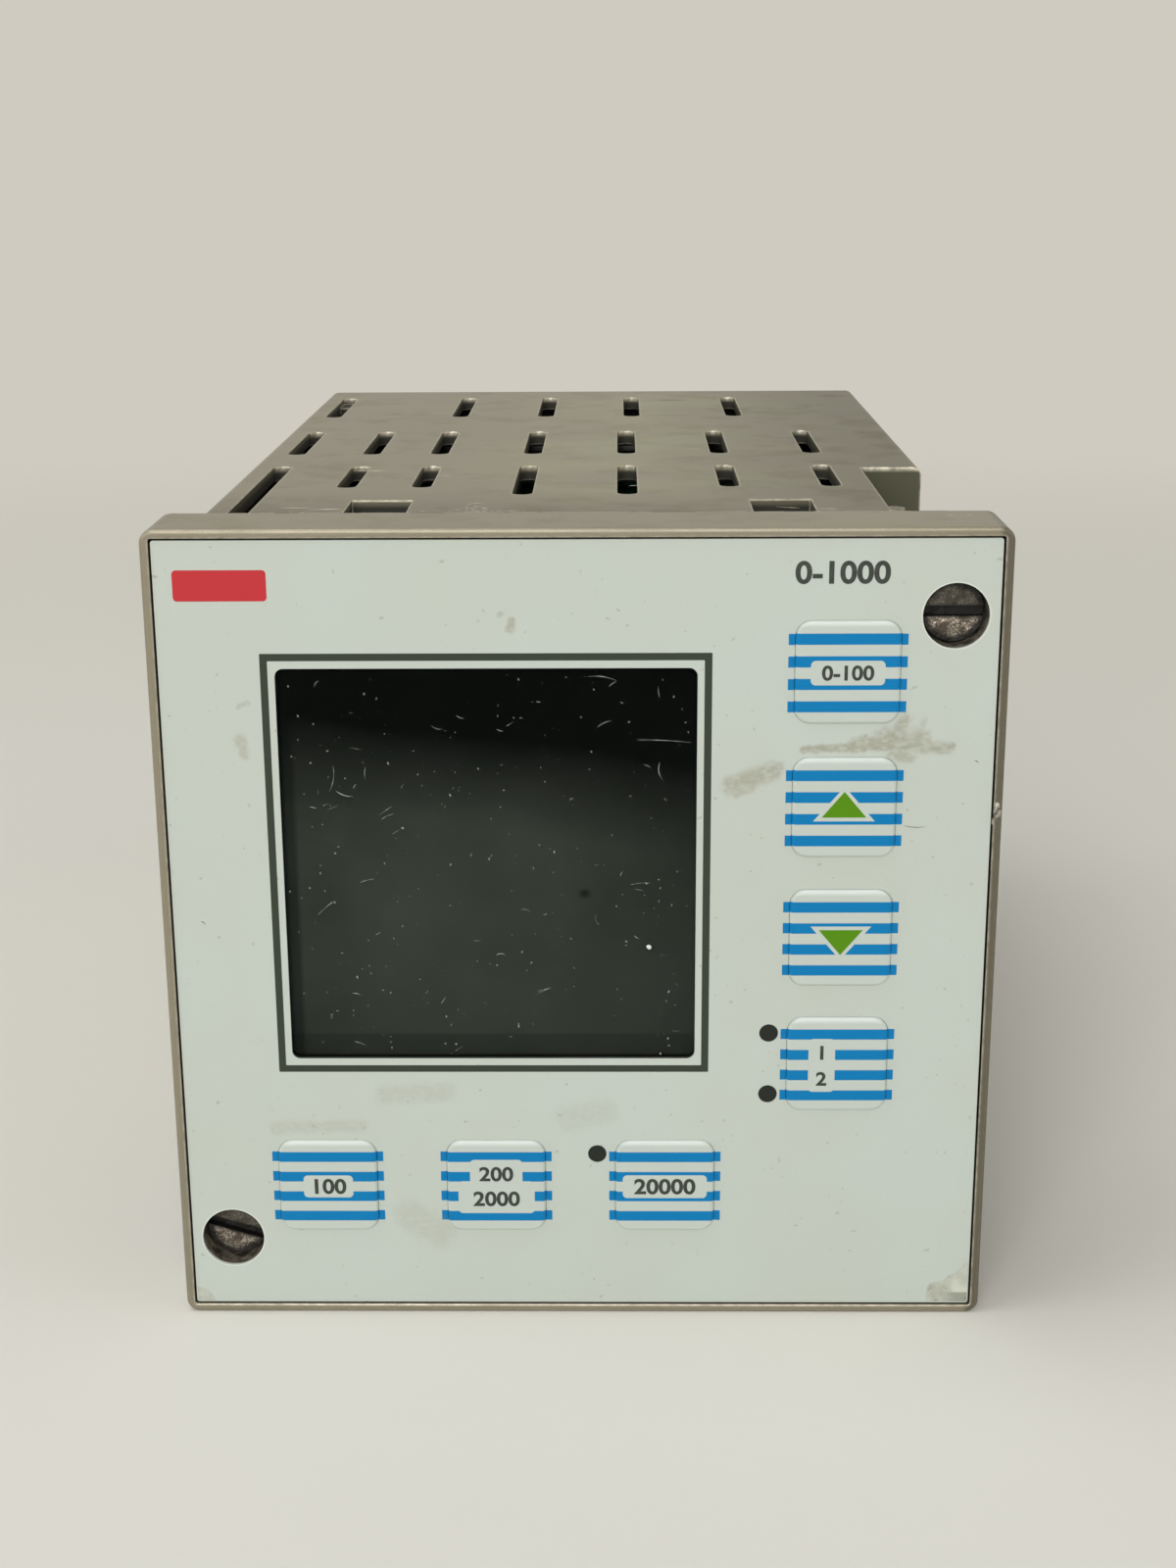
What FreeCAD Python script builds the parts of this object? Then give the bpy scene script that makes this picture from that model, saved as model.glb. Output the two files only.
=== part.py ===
import FreeCAD, Part
import ast
import math
import operator
import os
import re
import Sketcher

# Panel-mount process and temperature controller, 96 x 96 mm front.
# Millimetres.  X to the right as the user sees it, Y to the rear, Z up.
# The origin is the centre of the plane where the bezel meets the panel.

NODES = {}
UP = FreeCAD.Vector(0, 0, 1)

# ---------------------------------------------------------------- sizes

SIZES = {
    # case moulding: bezel, tube and front recess
    "bezel_width": 96.0,
    "bezel_depth": 10.8,
    "bezel_corner": 1.6,
    "bezel_edge_round": 0.35,
    "rim_wall": 1.0,
    "recess_depth": 7.0,
    "panel_overlap": 2.3,
    "tube_length": 141.7,
    "tube_corner": 1.2,
    "wall": 2.0,
    "gasket_thickness": 1.0,
    "gasket_gap": 0.1,
    # vents in the top and the bottom of the tube
    "slot_width": 2.6,
    "front_slots_end": 52.2,
    "front_slots_short": 19.0,
    "front_slots_mid": 25.0,
    "front_slots_long": 41.2,
    "middle_slots_start": 63.7,
    "middle_slots_length": 24.5,
    "rear_slots_edge": 9.5,
    "rear_slots_length": 26.0,
    "window_across": 24.7,
    "window_width": 7.6,
    "window_start": 10.0,
    "window_length": 13.0,
    # corner pockets for the panel clamps
    "pocket_width": 8.3,
    "pocket_height": 15.3,
    "pocket_length": 49.7,
    "clamp_rib_radius": 1.3,
    "clamp_rib_y": 16.5,
    # front screws and their seats
    "screw_inset_x": 6.1,
    "screw_inset_z": 9.9,
    "screw_hole_radius": 3.7,
    "screw_head_radius": 3.45,
    "screw_head_height": 2.2,
    "screw_sink": 2.7,
    "screw_slot_width": 1.2,
    "screw_slot_depth": 1.1,
    "small_slot_share": 0.33,
    "screw_shank_radius": 1.5,
    "screw_length": 12.7,
    "screw_clearance": 0.06,
    "screw_floor": 1.5,
    "boss_radius": 3.6,
    "boss_length": 11.0,
    "insert_radius": 2.4,
    "insert_length": 8.0,
    "ring_radius": 2.6,
    "ring_thickness": 0.6,
    "ring_well_depth": 1.2,
    # front foil and front plate
    "foil_step": 0.2,
    "foil_thickness": 0.4,
    "front_gap": 0.25,
    "front_corner": 0.3,
    "plate_wall": 2.2,
    "skirt_wall": 1.8,
    "seat_gap": 0.2,
    "tower_wall": 1.3,
    # display
    "display_left": 14.25,
    "display_top": 15.72,
    "display_to_column": 16.65,
    "display_to_row": 16.38,
    "display_corner": 0.95,
    "display_sink": 1.25,
    "glass_border": 2.2,
    "glass_thickness": 2.1,
    "glass_gap": 0.2,
    "backlight_thickness": 2.2,
    "display_frame_wall": 0.4,
    # keys
    "key_width": 11.75,
    "key_height": 11.7,
    "key_corner": 1.8,
    "key_gap": 0.04,
    "key_rise": 0.45,
    "key_round": 0.42,
    "key_travel": 0.5,
    "key_flange_edge": 0.6,
    "key_flange_thickness": 0.6,
    "key_stem_radius": 1.5,
    "dome_radius": 3.0,
    "dome_height": 0.35,
    "key_tower_gap": 0.32,
    "key_top": 16.25,
    "key_bottom": 16.9,
    # indicators
    "indicator_radius": 1.05,
    "indicator_offset": 8.02,
    "mode_indicator_z": 3.86,
    "confirm_indicator_z": 4.1,
    "lens_gap": 0.05,
    "lamp_width": 1.6,
    "lamp_height": 1.0,
    # boards
    "keypad_board_margin": 0.7,
    "keypad_board_thickness": 1.6,
    "keypad_board_gap": 0.1,
    "board_thickness": 1.6,
    "board_grip": 1.4,
    "board_gap": 0.2,
    "board_end_gap": 2.0,
    "tongue_length": 9.0,
    "tongue_step": 6.6,
    "main_board_margin": 13.2,
    "io_board_spacing": 14.0,
    "power_board_margin": 17.2,
    "arm_width": 4.6,
    "arm_height": 3.8,
    "arm_end": 16.0,
    "arm_clearance": 0.7,
    "header_width": 6.4,
    "header_height": 48.0,
    "header_depth": 7.3,
    "slip": 0.1,
    # parts on the boards
    "chip_thickness": 2.6,
    "relay_width": 10.0,
    "relay_length": 28.5,
    "relay_height": 12.6,
    "relay_pitch": 16.0,
    "relay_y": 48.0,
    "core_stack": 14.0,
    "core_length": 36.0,
    "core_height": 30.0,
    "core_leg": 6.0,
    "core_y": 26.0,
    "winding_margin": 2.4,
    "capacitor_radius": 6.5,
    "capacitor_y": 80.0,
    "capacitor_pitch": 26.0,
    "spacer_setback": 12.0,
    "spacer_depth": 5.5,
    "spacer_side": 2.0,
    "spacer_reach": 4.5,
    # rear of the case
    "rear_panel_thickness": 3.0,
    "rear_panel_gap": 0.15,
    "backplane_setback": 12.7,
    "backplane_margin": 1.0,
    "socket_width": 9.0,
    "socket_ear_width": 7.0,
    "socket_depth": 13.0,
    "socket_step": 5.0,
    "socket_end_wall": 3.0,
    "post_width": 7.2,
    "post_length": 12.0,
    "rear_screw_radius": 1.4,
    "rear_screw_head": 2.7,
    "rear_screw_head_height": 1.9,
    "rear_screw_length": 8.0,
    "terminal_pitch": 5.08,
    "terminal_width": 10.6,
    "terminal_out": 7.3,
    "terminal_groove": 4.4,
    "terminal_groove_depth": 1.8,
    "terminal_screw_radius": 1.9,
    "terminal_screw_height": 1.4,
    "wire_hole": 3.0,
    "wire_hole_depth": 6.0,
    "terminal_margin": 14.2,
    "terminal_spacing": 17.0,
    "mains_terminal_margin": 21.7,
    "cover_margin": 6.7,
    "cover_height": 66.0,
    "cover_thickness": 1.2,
    "cover_edge": 2.0,
    "cover_screw_radius": 1.9,
    "cover_screw_height": 1.2,
    "earth_z": 12.0,
    "earth_screw_radius": 3.8,
    "earth_screw_height": 2.6,
}

TERMINAL_POLES = {"left": 12, "middle": 12, "mains": 6}

# Places worked out from the sizes: y of each layer, then widths and outlines.
PLACES = {
    "rim_front": "-bezel_depth",
    "recess_floor": "rim_front + recess_depth",
    "foil_front": "rim_front + foil_step",
    "plate_front": "foil_front + foil_thickness",
    "plate_back": "plate_front + plate_wall",
    "skirt_back": "recess_floor - seat_gap",
    "head_front": "foil_front + screw_sink",
    "head_seat": "head_front + screw_head_height",
    "screw_end": "head_seat + screw_length",
    "key_front": "foil_front - key_rise",
    "flange_back": "plate_back + key_flange_thickness",
    "stem_back": "keypad_front - dome_height - key_travel - key_gap",
    "glass_front": "foil_front + display_sink",
    "glass_back": "glass_front + glass_thickness",
    "backlight_back": "glass_back + backlight_thickness",
    "keypad_front": "backlight_back + keypad_board_gap",
    "keypad_back": "keypad_front + keypad_board_thickness",
    "board_front": "keypad_back + board_gap",
    "rear_face": "tube_length",
    "rear_panel_front": "tube_length - rear_panel_thickness",
    "terminal_back": "tube_length + terminal_out",
    "backplane_y": "rear_panel_front - backplane_setback",
    "backplane_back": "backplane_y + board_thickness",
    "socket_front": "backplane_y - socket_depth",
    "board_end": "socket_front - board_end_gap",
    "tongue_end": "board_end + tongue_length",
    "spacer_y": "board_end - spacer_setback",
    "rear_slots_start": "tube_length - rear_slots_edge - rear_slots_length",
    "half_bezel": "bezel_width / 2",
    "tube_width": "bezel_width - 2 * panel_overlap",
    "half_tube": "tube_width / 2",
    "bore_width": "tube_width - 2 * wall",
    "half_bore": "bore_width / 2",
    "recess_width": "bezel_width - 2 * rim_wall",
    "front_width": "recess_width - 2 * front_gap",
    "skirt_inner": "front_width - 2 * skirt_wall",
    "screw_x": "half_bezel - screw_inset_x",
    "screw_z": "half_bezel - screw_inset_z",
    "tower_radius": "screw_hole_radius + tower_wall",
    "column_x": "screw_x - tower_radius - key_tower_gap - key_flange_edge - key_width / 2",
    "row_pitch": "2 * column_x / 3",
    "setpoint_z": "half_bezel - key_top",
    "bottom_row_z": "key_bottom - half_bezel",
    "column_pitch": "(setpoint_z - bottom_row_z) / 4",
    "raise_z": "setpoint_z - column_pitch",
    "lower_z": "setpoint_z - 2 * column_pitch",
    "mode_z": "setpoint_z - 3 * column_pitch",
    "confirm_x": "row_pitch / 2",
    "display_width": "column_x - display_to_column + half_bezel - display_left",
    "display_height": "half_bezel - display_top - bottom_row_z - display_to_row",
    "display_x": "column_x - display_to_column - display_width / 2",
    "display_z": "half_bezel - display_top - display_height / 2",
    "glass_width": "display_width + 2 * glass_border",
    "glass_height": "display_height + 2 * glass_border",
    "post_centre": "half_bore - post_width / 2",
    "arm_top": "half_bore - arm_clearance",
    "arm_bottom": "arm_top - arm_height",
    "keypad_board_width": "bore_width - 2 * keypad_board_margin",
    "board_height": "2 * (arm_bottom + board_grip)",
    "tongue_height": "board_height - 2 * tongue_step",
    "socket_height": "tongue_height + 2 * socket_end_wall",
    "main_board_x": "main_board_margin - half_bore",
    "io_board_x": "main_board_x + io_board_spacing",
    "power_board_x": "half_bore - power_board_margin",
    "capacitor_length": "(power_board_x - io_board_x) / 2",
    "pocket_inner_x": "half_tube - pocket_width",
    "pocket_floor_z": "half_tube - pocket_height",
    "backplane_width": "2 * (half_bore - post_width - backplane_margin)",
    "terminal_left_x": "half_bore - terminal_margin",
    "terminal_middle_x": "terminal_left_x - terminal_spacing",
    "terminal_mains_x": "-terminal_left_x",
    "terminal_mains_z": "mains_terminal_margin - half_bore",
    "cover_x": "(terminal_middle_x + terminal_mains_x) / 2",
    "cover_width": "terminal_middle_x - terminal_mains_x - terminal_width - 2 * cover_margin",
}

KEYS = {
    "key_setpoint": ("column_x", "setpoint_z"),
    "key_raise": ("column_x", "raise_z"),
    "key_lower": ("column_x", "lower_z"),
    "key_manual_auto": ("column_x", "mode_z"),
    "key_indication": ("-column_x", "bottom_row_z"),
    "key_escape": ("-confirm_x", "bottom_row_z"),
    "key_confirm": ("confirm_x", "bottom_row_z"),
}

INDICATORS = [
    ("column_x - indicator_offset", "mode_z + mode_indicator_z"),
    ("column_x - indicator_offset", "mode_z - mode_indicator_z"),
    ("confirm_x - indicator_offset", "bottom_row_z + confirm_indicator_z"),
]

# Columns of vent slots, from left to right, and the length of each in the front row.
FRONT_SLOTS = {
    "vent_a": "front_slots_long",
    "vent_b": "front_slots_short",
    "vent_c": "front_slots_short",
    "vent_d": "front_slots_mid",
    "vent_e": "front_slots_mid",
    "vent_f": "front_slots_short",
    "vent_g": "front_slots_short",
}

# Each column's place as a share of the way from the middle to the side wall.
VENT_COLUMNS = {
    "vent_a": -0.943,
    "vent_b": -0.698,
    "vent_c": -0.476,
    "vent_d": -0.172,
    "vent_e": 0.133,
    "vent_f": 0.435,
    "vent_g": 0.735,
}
REAR_VENT_COLUMNS = {
    "vent_rear_a": -0.943,
    "vent_rear_b": -0.476,
    "vent_rear_c": -0.16,
    "vent_rear_d": 0.156,
    "vent_rear_e": 0.531,
}
SIZES.update(VENT_COLUMNS)
SIZES.update(REAR_VENT_COLUMNS)

DOC = FreeCAD.newDocument("process_controller")


def make_sheet():
    sheet = DOC.addObject("Spreadsheet::Sheet", "Sizes")
    for row, (alias, value) in enumerate(SIZES.items(), start=1):
        sheet.set(f"A{row}", alias.replace("_", " "))
        sheet.set(f"B{row}", str(value))
        sheet.setAlias(f"B{row}", alias)
    DOC.recompute()


make_sheet()


def formula(text):
    """Turn names of sizes and places into a FreeCAD expression on the sheet."""

    def expand(match):
        word = match.group(0)
        if word in PLACES:
            return "(" + formula(PLACES[word]) + ")"
        if word in SIZES:
            return "Sizes." + word
        raise ValueError("unknown size: " + word)

    return re.sub(r"[a-z][a-z_]*", expand, str(text))


OPERATIONS = {
    ast.Add: operator.add,
    ast.Sub: operator.sub,
    ast.Mult: operator.mul,
    ast.Div: operator.truediv,
    ast.USub: operator.neg,
}


def number(text):
    """The value of a formula, which gives each sketch its starting shape."""

    def value(part):
        if isinstance(part, ast.Name):
            word = part.id
            return number(PLACES[word]) if word in PLACES else SIZES[word]
        if isinstance(part, ast.BinOp):
            return OPERATIONS[type(part.op)](value(part.left), value(part.right))
        if isinstance(part, ast.UnaryOp):
            return OPERATIONS[type(part.op)](value(part.operand))
        return part.value

    return value(ast.parse(str(text)).body[0].value)


def bind(item, prop, text):
    item.setExpression(prop, formula(text))


# ---------------------------------------------------------------- solids by primitives


def box(x, y, z):
    """A block between two formulas on each axis."""
    item = DOC.addObject("Part::Box", "Block")
    for low_high, side, axis in ((x, "Length", "x"), (y, "Width", "y"), (z, "Height", "z")):
        low, high = low_high
        bind(item, side, f"({high}) - ({low})")
        bind(item, f"Placement.Base.{axis}", low)
    return item


def centred(middle, width):
    return (f"({middle}) - ({width}) / 2", f"({middle}) + ({width}) / 2")


def rod(x, z, y, radius):
    """A round bar along Y."""
    item = DOC.addObject("Part::Cylinder", "Rod")
    item.Placement.Rotation = FreeCAD.Rotation(FreeCAD.Vector(1, 0, 0), -90)
    bind(item, "Radius", radius)
    bind(item, "Height", f"({y[1]}) - ({y[0]})")
    bind(item, "Placement.Base.x", x)
    bind(item, "Placement.Base.y", y[0])
    bind(item, "Placement.Base.z", z)
    return item


def join(items):
    item = DOC.addObject("Part::MultiFuse", "Join")
    item.Shapes = items
    return item


def cut(base, tools):
    item = DOC.addObject("Part::Cut", "Cut")
    item.Base = base
    item.Tool = tools[0] if len(tools) == 1 else join(tools)
    return item


def group(items):
    item = DOC.addObject("Part::Compound", "Group")
    item.Links = items
    return item


def keep(node, item):
    """Name a finished sub-part: its Label is the name of its file."""
    item.Label = node
    NODES[node] = item
    return item


# ---------------------------------------------------------------- solids by sketches


def new_body(node):
    return keep(node, DOC.addObject("PartDesign::Body", node))


def origin_feature(body, role):
    return next(item for item in body.Origin.OriginFeatures if item.Role == role)


class Drawing:
    """A sketch on one of the body's own planes, drawn in full and then solved once."""

    def __init__(self, body, plane, height="0"):
        self.sketch = body.newObject("Sketcher::SketchObject", "Sketch")
        self.sketch.AttachmentSupport = [(origin_feature(body, plane), "")]
        self.sketch.MapMode = "FlatFace"
        bind(self.sketch, ".AttachmentOffset.Base.z", height)
        self.shapes = []
        self.rules = []

    def line(self, start, end):
        self.shapes.append(Part.LineSegment(FreeCAD.Vector(*start, 0), FreeCAD.Vector(*end, 0)))
        return len(self.shapes) - 1

    def circle(self, centre, radius):
        self.shapes.append(Part.Circle(FreeCAD.Vector(*centre, 0), UP, radius))
        return len(self.shapes) - 1

    def arc(self, centre, radius, first, last):
        circle = Part.Circle(FreeCAD.Vector(*centre, 0), UP, radius)
        self.shapes.append(Part.ArcOfCircle(circle, math.radians(first), math.radians(last)))
        return len(self.shapes) - 1

    def relate(self, kind, *geometry):
        self.rules.append((kind, geometry, None))

    def measure(self, kind, geometry, text):
        """A dimension that follows a formula."""
        self.rules.append((kind, geometry, text))

    def place(self, geometry, x, y):
        """Dimension a point from the origin."""
        self.measure("DistanceX", (-1, 1, *geometry), x)
        self.measure("DistanceY", (-1, 1, *geometry), y)

    def close(self):
        """Add what was drawn and tie its dimensions to the sheet."""
        self.sketch.addGeometry(self.shapes, False)
        constraints = []
        for kind, geometry, text in self.rules:
            value = () if text is None else (number(text),)
            constraints.append(Sketcher.Constraint(kind, *geometry, *value))
        self.sketch.addConstraint(constraints)
        for index, (kind, geometry, text) in enumerate(self.rules):
            if text is not None:
                bind(self.sketch, f"Constraints[{index}]", text)
        return self.sketch


def across(body, y):
    """A drawing square to Y at a given y.  Its normal points to the front."""
    return Drawing(body, "XZ_Plane", f"-({y})")


def draw_polygon(drawing, corners):
    """Straight sides, each corner dimensioned from the origin."""
    points = [(number(x), number(y)) for x, y in corners]
    count = len(points)
    sides = [drawing.line(points[i], points[(i + 1) % count]) for i in range(count)]
    for i in range(count):
        drawing.relate("Coincident", sides[i], 2, sides[(i + 1) % count], 1)
        drawing.place((sides[i], 1), *corners[i])


def draw_rectangle(drawing, x, z):
    (left, right), (low, high) = x, z
    draw_polygon(drawing, [(left, low), (right, low), (right, high), (left, high)])


def draw_rounded(drawing, middle, width, height, radius):
    """A rectangle with four equal rounded corners."""
    west = f"({middle[0]}) - ({width}) / 2"
    east = f"({middle[0]}) + ({width}) / 2"
    south = f"({middle[1]}) - ({height}) / 2"
    north = f"({middle[1]}) + ({height}) / 2"
    x0, x1, y0, y1, r = (number(text) for text in (west, east, south, north, radius))
    low = drawing.line((x0 + r, y0), (x1 - r, y0))
    right = drawing.line((x1, y0 + r), (x1, y1 - r))
    high = drawing.line((x1 - r, y1), (x0 + r, y1))
    left = drawing.line((x0, y1 - r), (x0, y0 + r))
    corners = [
        drawing.arc((x1 - r, y0 + r), r, 270, 360),
        drawing.arc((x1 - r, y1 - r), r, 0, 90),
        drawing.arc((x0 + r, y1 - r), r, 90, 180),
        drawing.arc((x0 + r, y0 + r), r, 180, 270),
    ]
    ring = [low, right, high, left]
    for i in range(4):
        drawing.relate("Tangent", ring[i], 2, corners[i], 1)
        drawing.relate("Tangent", corners[i], 2, ring[(i + 1) % 4], 1)
    for level in (low, high):
        drawing.relate("Horizontal", level)
    for upright in (left, right):
        drawing.relate("Vertical", upright)
    for corner in corners[1:]:
        drawing.relate("Equal", corners[0], corner)
    drawing.measure("Radius", (corners[0],), radius)
    drawing.measure("DistanceX", (-1, 1, left, 1), west)
    drawing.measure("DistanceX", (-1, 1, right, 1), east)
    drawing.measure("DistanceY", (-1, 1, low, 1), south)
    drawing.measure("DistanceY", (-1, 1, high, 1), north)


def draw_slot(drawing, x, start, length, width):
    """A slot with round ends that runs along the sketch's second axis."""
    first = f"({start}) + ({width}) / 2"
    last = f"({start}) + ({length}) - ({width}) / 2"
    middle, y0, y1, r = (number(text) for text in (x, first, last, f"({width}) / 2"))
    near = drawing.arc((middle, y0), r, 180, 360)
    far = drawing.arc((middle, y1), r, 0, 180)
    right = drawing.line((middle + r, y0), (middle + r, y1))
    left = drawing.line((middle - r, y1), (middle - r, y0))
    ring = [near, right, far, left]
    for i in range(4):
        drawing.relate("Tangent", ring[i], 2, ring[(i + 1) % 4], 1)
    for upright in (left, right):
        drawing.relate("Vertical", upright)
    drawing.measure("Radius", (near,), f"({width}) / 2")
    drawing.place((near, 3), x, first)
    drawing.measure("DistanceY", (-1, 1, far, 3), last)


def draw_circle(drawing, x, z, radius):
    index = drawing.circle((number(x), number(z)), number(radius))
    drawing.measure("Radius", (index,), radius)
    drawing.place((index, 3), x, z)


def pad(body, drawing, length, reverse=False):
    """Add material along the sketch's normal, or against it."""
    item = body.newObject("PartDesign::Pad", "Pad")
    item.Profile = drawing.close()
    item.Reversed = reverse
    bind(item, "Length", length)
    return item


def pocket(body, drawing, length=None, reverse=False):
    """Remove material against the sketch's normal, or along it; all through without a length."""
    item = body.newObject("PartDesign::Pocket", "Pocket")
    item.Profile = drawing.close()
    item.Reversed = reverse
    if length is None:
        item.Type = 1
    else:
        bind(item, "Length", length)
    return item


def pad_between(body, drawing, start, end):
    """Add material from the sketch at y = start back to y = end."""
    return pad(body, drawing, f"({end}) - ({start})", reverse=True)


def turn_half(body, originals):
    """Repeat features after half a turn about Y."""
    item = body.newObject("PartDesign::PolarPattern", "HalfTurn")
    item.Originals = originals
    item.Axis = (origin_feature(body, "Y_Axis"), [""])
    item.Angle = 360
    item.Occurrences = 2
    body.Tip = item
    return item


TOUCH = 1e-4


def round_edges(body, feature, y, radius):
    """Round the edges of a feature that lie in the plane at y."""
    DOC.recompute()
    names = []
    for index, edge in enumerate(feature.Shape.Edges, start=1):
        limits = edge.BoundBox
        if abs(limits.YMin - number(y)) < TOUCH and abs(limits.YMax - number(y)) < TOUCH:
            names.append(f"Edge{index}")
    item = body.newObject("PartDesign::Fillet", "Fillet")
    item.Base = (feature, names)
    bind(item, "Radius", radius)


# ---------------------------------------------------------------- case


def make_case_shell():
    """Bezel and tube in one moulding, with vents, two clamp pockets and screw bosses."""
    body = new_body("case_shell")

    outline = across(body, "0")
    draw_rounded(outline, ("0", "0"), "bezel_width", "bezel_width", "bezel_corner")
    bezel = pad(body, outline, "bezel_depth")
    round_edges(body, bezel, "rim_front", "bezel_edge_round")

    outline = across(body, "0")
    draw_rounded(outline, ("0", "0"), "tube_width", "tube_width", "tube_corner")
    tube = pad_between(body, outline, "0", "tube_length")
    round_edges(body, tube, "rear_face", "bezel_edge_round")

    outline = across(body, "rim_front")
    draw_rounded(outline, ("0", "0"), "recess_width", "recess_width", "front_corner")
    pocket(body, outline, "recess_depth")

    outline = across(body, "rim_front")
    draw_rounded(outline, ("0", "0"), "bore_width", "bore_width", "front_corner")
    pocket(body, outline)

    add_clamp_pockets(body)
    add_vents(body)
    add_rear_posts(body)


def add_clamp_pockets(body):
    """Cut two opposite corners of the tube back to a floor, with a wall inside."""
    inner = ("pocket_inner_x - wall", "half_tube - wall / 2")
    floor = ("pocket_floor_z - wall", "half_tube - wall / 2")
    outline = across(body, "recess_floor")
    draw_rectangle(outline, inner, floor)
    block = pad_between(body, outline, "recess_floor", "pocket_length + wall")

    outline = across(body, "0")
    draw_rectangle(
        outline,
        ("pocket_inner_x", "half_tube + wall"),
        ("pocket_floor_z", "half_tube + wall"),
    )
    corner = pocket(body, outline, "pocket_length")

    outline = across(body, "0")
    draw_circle(outline, "screw_x", "screw_z", "boss_radius")
    boss = pad_between(body, outline, "0", "boss_length")

    outline = Drawing(body, "XY_Plane", "pocket_floor_z - wall / 2")
    draw_circle(outline, "pocket_inner_x + clamp_rib_radius / 2", "clamp_rib_y", "clamp_rib_radius")
    rib = pad(body, outline, "half_tube - pocket_floor_z + wall / 2 - slip")

    outline = across(body, "recess_floor")
    draw_circle(outline, "screw_x", "screw_z", "ring_radius + slip * 4")
    well = pocket(body, outline, "ring_well_depth")

    outline = across(body, "recess_floor")
    draw_circle(outline, "screw_x", "screw_z", "insert_radius + slip / 5")
    hole = pocket(body, outline, "screw_end + 2 * slip - recess_floor")

    turn_half(body, [block, corner, boss, rib, well, hole])


def add_vents(body):
    """Rows of slots and two windows, in the top and in the bottom."""
    outline = Drawing(body, "XY_Plane", "half_tube")
    for column, length in FRONT_SLOTS.items():
        x = f"{column} * half_bore"
        draw_slot(outline, x, f"front_slots_end - {length}", length, "slot_width")
        draw_slot(outline, x, "middle_slots_start", "middle_slots_length", "slot_width")
    for column in REAR_VENT_COLUMNS:
        x = f"{column} * half_bore"
        draw_slot(outline, x, "rear_slots_start", "rear_slots_length", "slot_width")
    slots = pocket(body, outline, "wall * 1.25")

    outline = Drawing(body, "XY_Plane", "half_tube")
    length = ("window_start", "window_start + window_length")
    draw_rectangle(outline, centred("window_across", "window_width"), length)
    draw_rectangle(outline, centred("-window_across", "window_width"), length)
    windows = pocket(body, outline, "wall * 1.25")

    turn_half(body, [slots, windows])


def corners_of(half):
    """Centres of four places set evenly about the axis."""
    signs = ((1, 1), (-1, 1), (-1, -1), (1, -1))
    return [(f"{sx} * ({half})", f"{sz} * ({half})") for sx, sz in signs]


def add_rear_posts(body):
    """Four posts in the corners that take the rear panel's screws."""
    outline = across(body, "rear_panel_front")
    for x, z in corners_of("post_centre + wall / 4"):
        width = "post_width + wall / 2"
        draw_rectangle(outline, centred(x, width), centred(z, width))
    pad(body, outline, "post_length")

    outline = across(body, "rear_panel_front")
    for x, z in corners_of("post_centre"):
        draw_circle(outline, x, z, "rear_screw_radius + screw_clearance")
    pocket(body, outline, "rear_screw_length", reverse=True)


def make_gasket():
    """Flat ring between the bezel and the panel."""
    outer = box(
        centred("0", "bezel_width - rim_wall"),
        ("0", "gasket_thickness"),
        centred("0", "bezel_width - rim_wall"),
    )
    inner = box(
        centred("0", "tube_width + 2 * gasket_gap"),
        ("-1", "gasket_thickness + 1"),
        centred("0", "tube_width + 2 * gasket_gap"),
    )
    keep("panel_gasket", cut(outer, [inner]))


def make_screw_inserts():
    """Two brass bushes that the front screws turn in."""
    start = "recess_floor + ring_well_depth"
    bushes = []
    for side in ("1", "-1"):
        place = (f"{side} * screw_x", f"{side} * screw_z")
        outer = rod(*place, (start, f"{start} + insert_length"), "insert_radius")
        inner = rod(
            *place,
            (f"{start} - 1", f"{start} + insert_length + 1"),
            "screw_shank_radius + screw_clearance",
        )
        bushes.append(cut(outer, [inner]))
    keep("screw_inserts", group(bushes))


# ---------------------------------------------------------------- rear


def terminal_height(name):
    return f"{TERMINAL_POLES[name]} * terminal_pitch + 2 * slip"


TERMINALS = {
    "left": ("terminal_left_x", "0"),
    "middle": ("terminal_middle_x", "0"),
    "mains": ("terminal_mains_x", "terminal_mains_z"),
}


def make_rear_panel():
    """Plate that closes the tube, with pillars that carry the backplane."""
    body = new_body("rear_panel")
    outline = across(body, "rear_panel_front")
    width = "bore_width - 2 * rear_panel_gap"
    draw_rounded(outline, ("0", "0"), width, width, "front_corner")
    pad_between(body, outline, "rear_panel_front", "rear_face")

    outline = across(body, "rear_face")
    for name, (x, z) in TERMINALS.items():
        draw_rectangle(
            outline,
            centred(x, "terminal_width + 2 * slip"),
            centred(z, f"{terminal_height(name)} + 2 * slip"),
        )
    opening = "cover_width - 2 * cover_edge"
    draw_rectangle(outline, centred("cover_x", opening), centred("0", "cover_height - 6 * cover_edge"))
    for x, z in corners_of("post_centre"):
        draw_circle(outline, x, z, "rear_screw_radius + screw_clearance")
    pocket(body, outline, "rear_panel_thickness", reverse=True)

    outline = across(body, "rear_panel_front")
    reach = "backplane_width / 2 - 2 * wall"
    for z in (reach, f"-({reach})"):
        for x in ("cover_x - cover_width / 2 - cover_margin / 2", "terminal_left_x - terminal_spacing / 2"):
            draw_rectangle(outline, centred(x, "1.5 * wall"), centred(z, "2 * wall"))
    pad(body, outline, "rear_panel_front - backplane_back")


def slotted_head(x, z, y, radius):
    """A round screw head with a straight slot across it, facing the rear."""
    head = rod(x, z, y, radius)
    slot = f"{radius} * small_slot_share"
    cutter = box(
        centred(x, slot),
        (f"({y[1]}) - ({slot})", f"({y[1]}) + 1"),
        centred(z, f"3 * ({radius})"),
    )
    return cut(head, [cutter])


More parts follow.
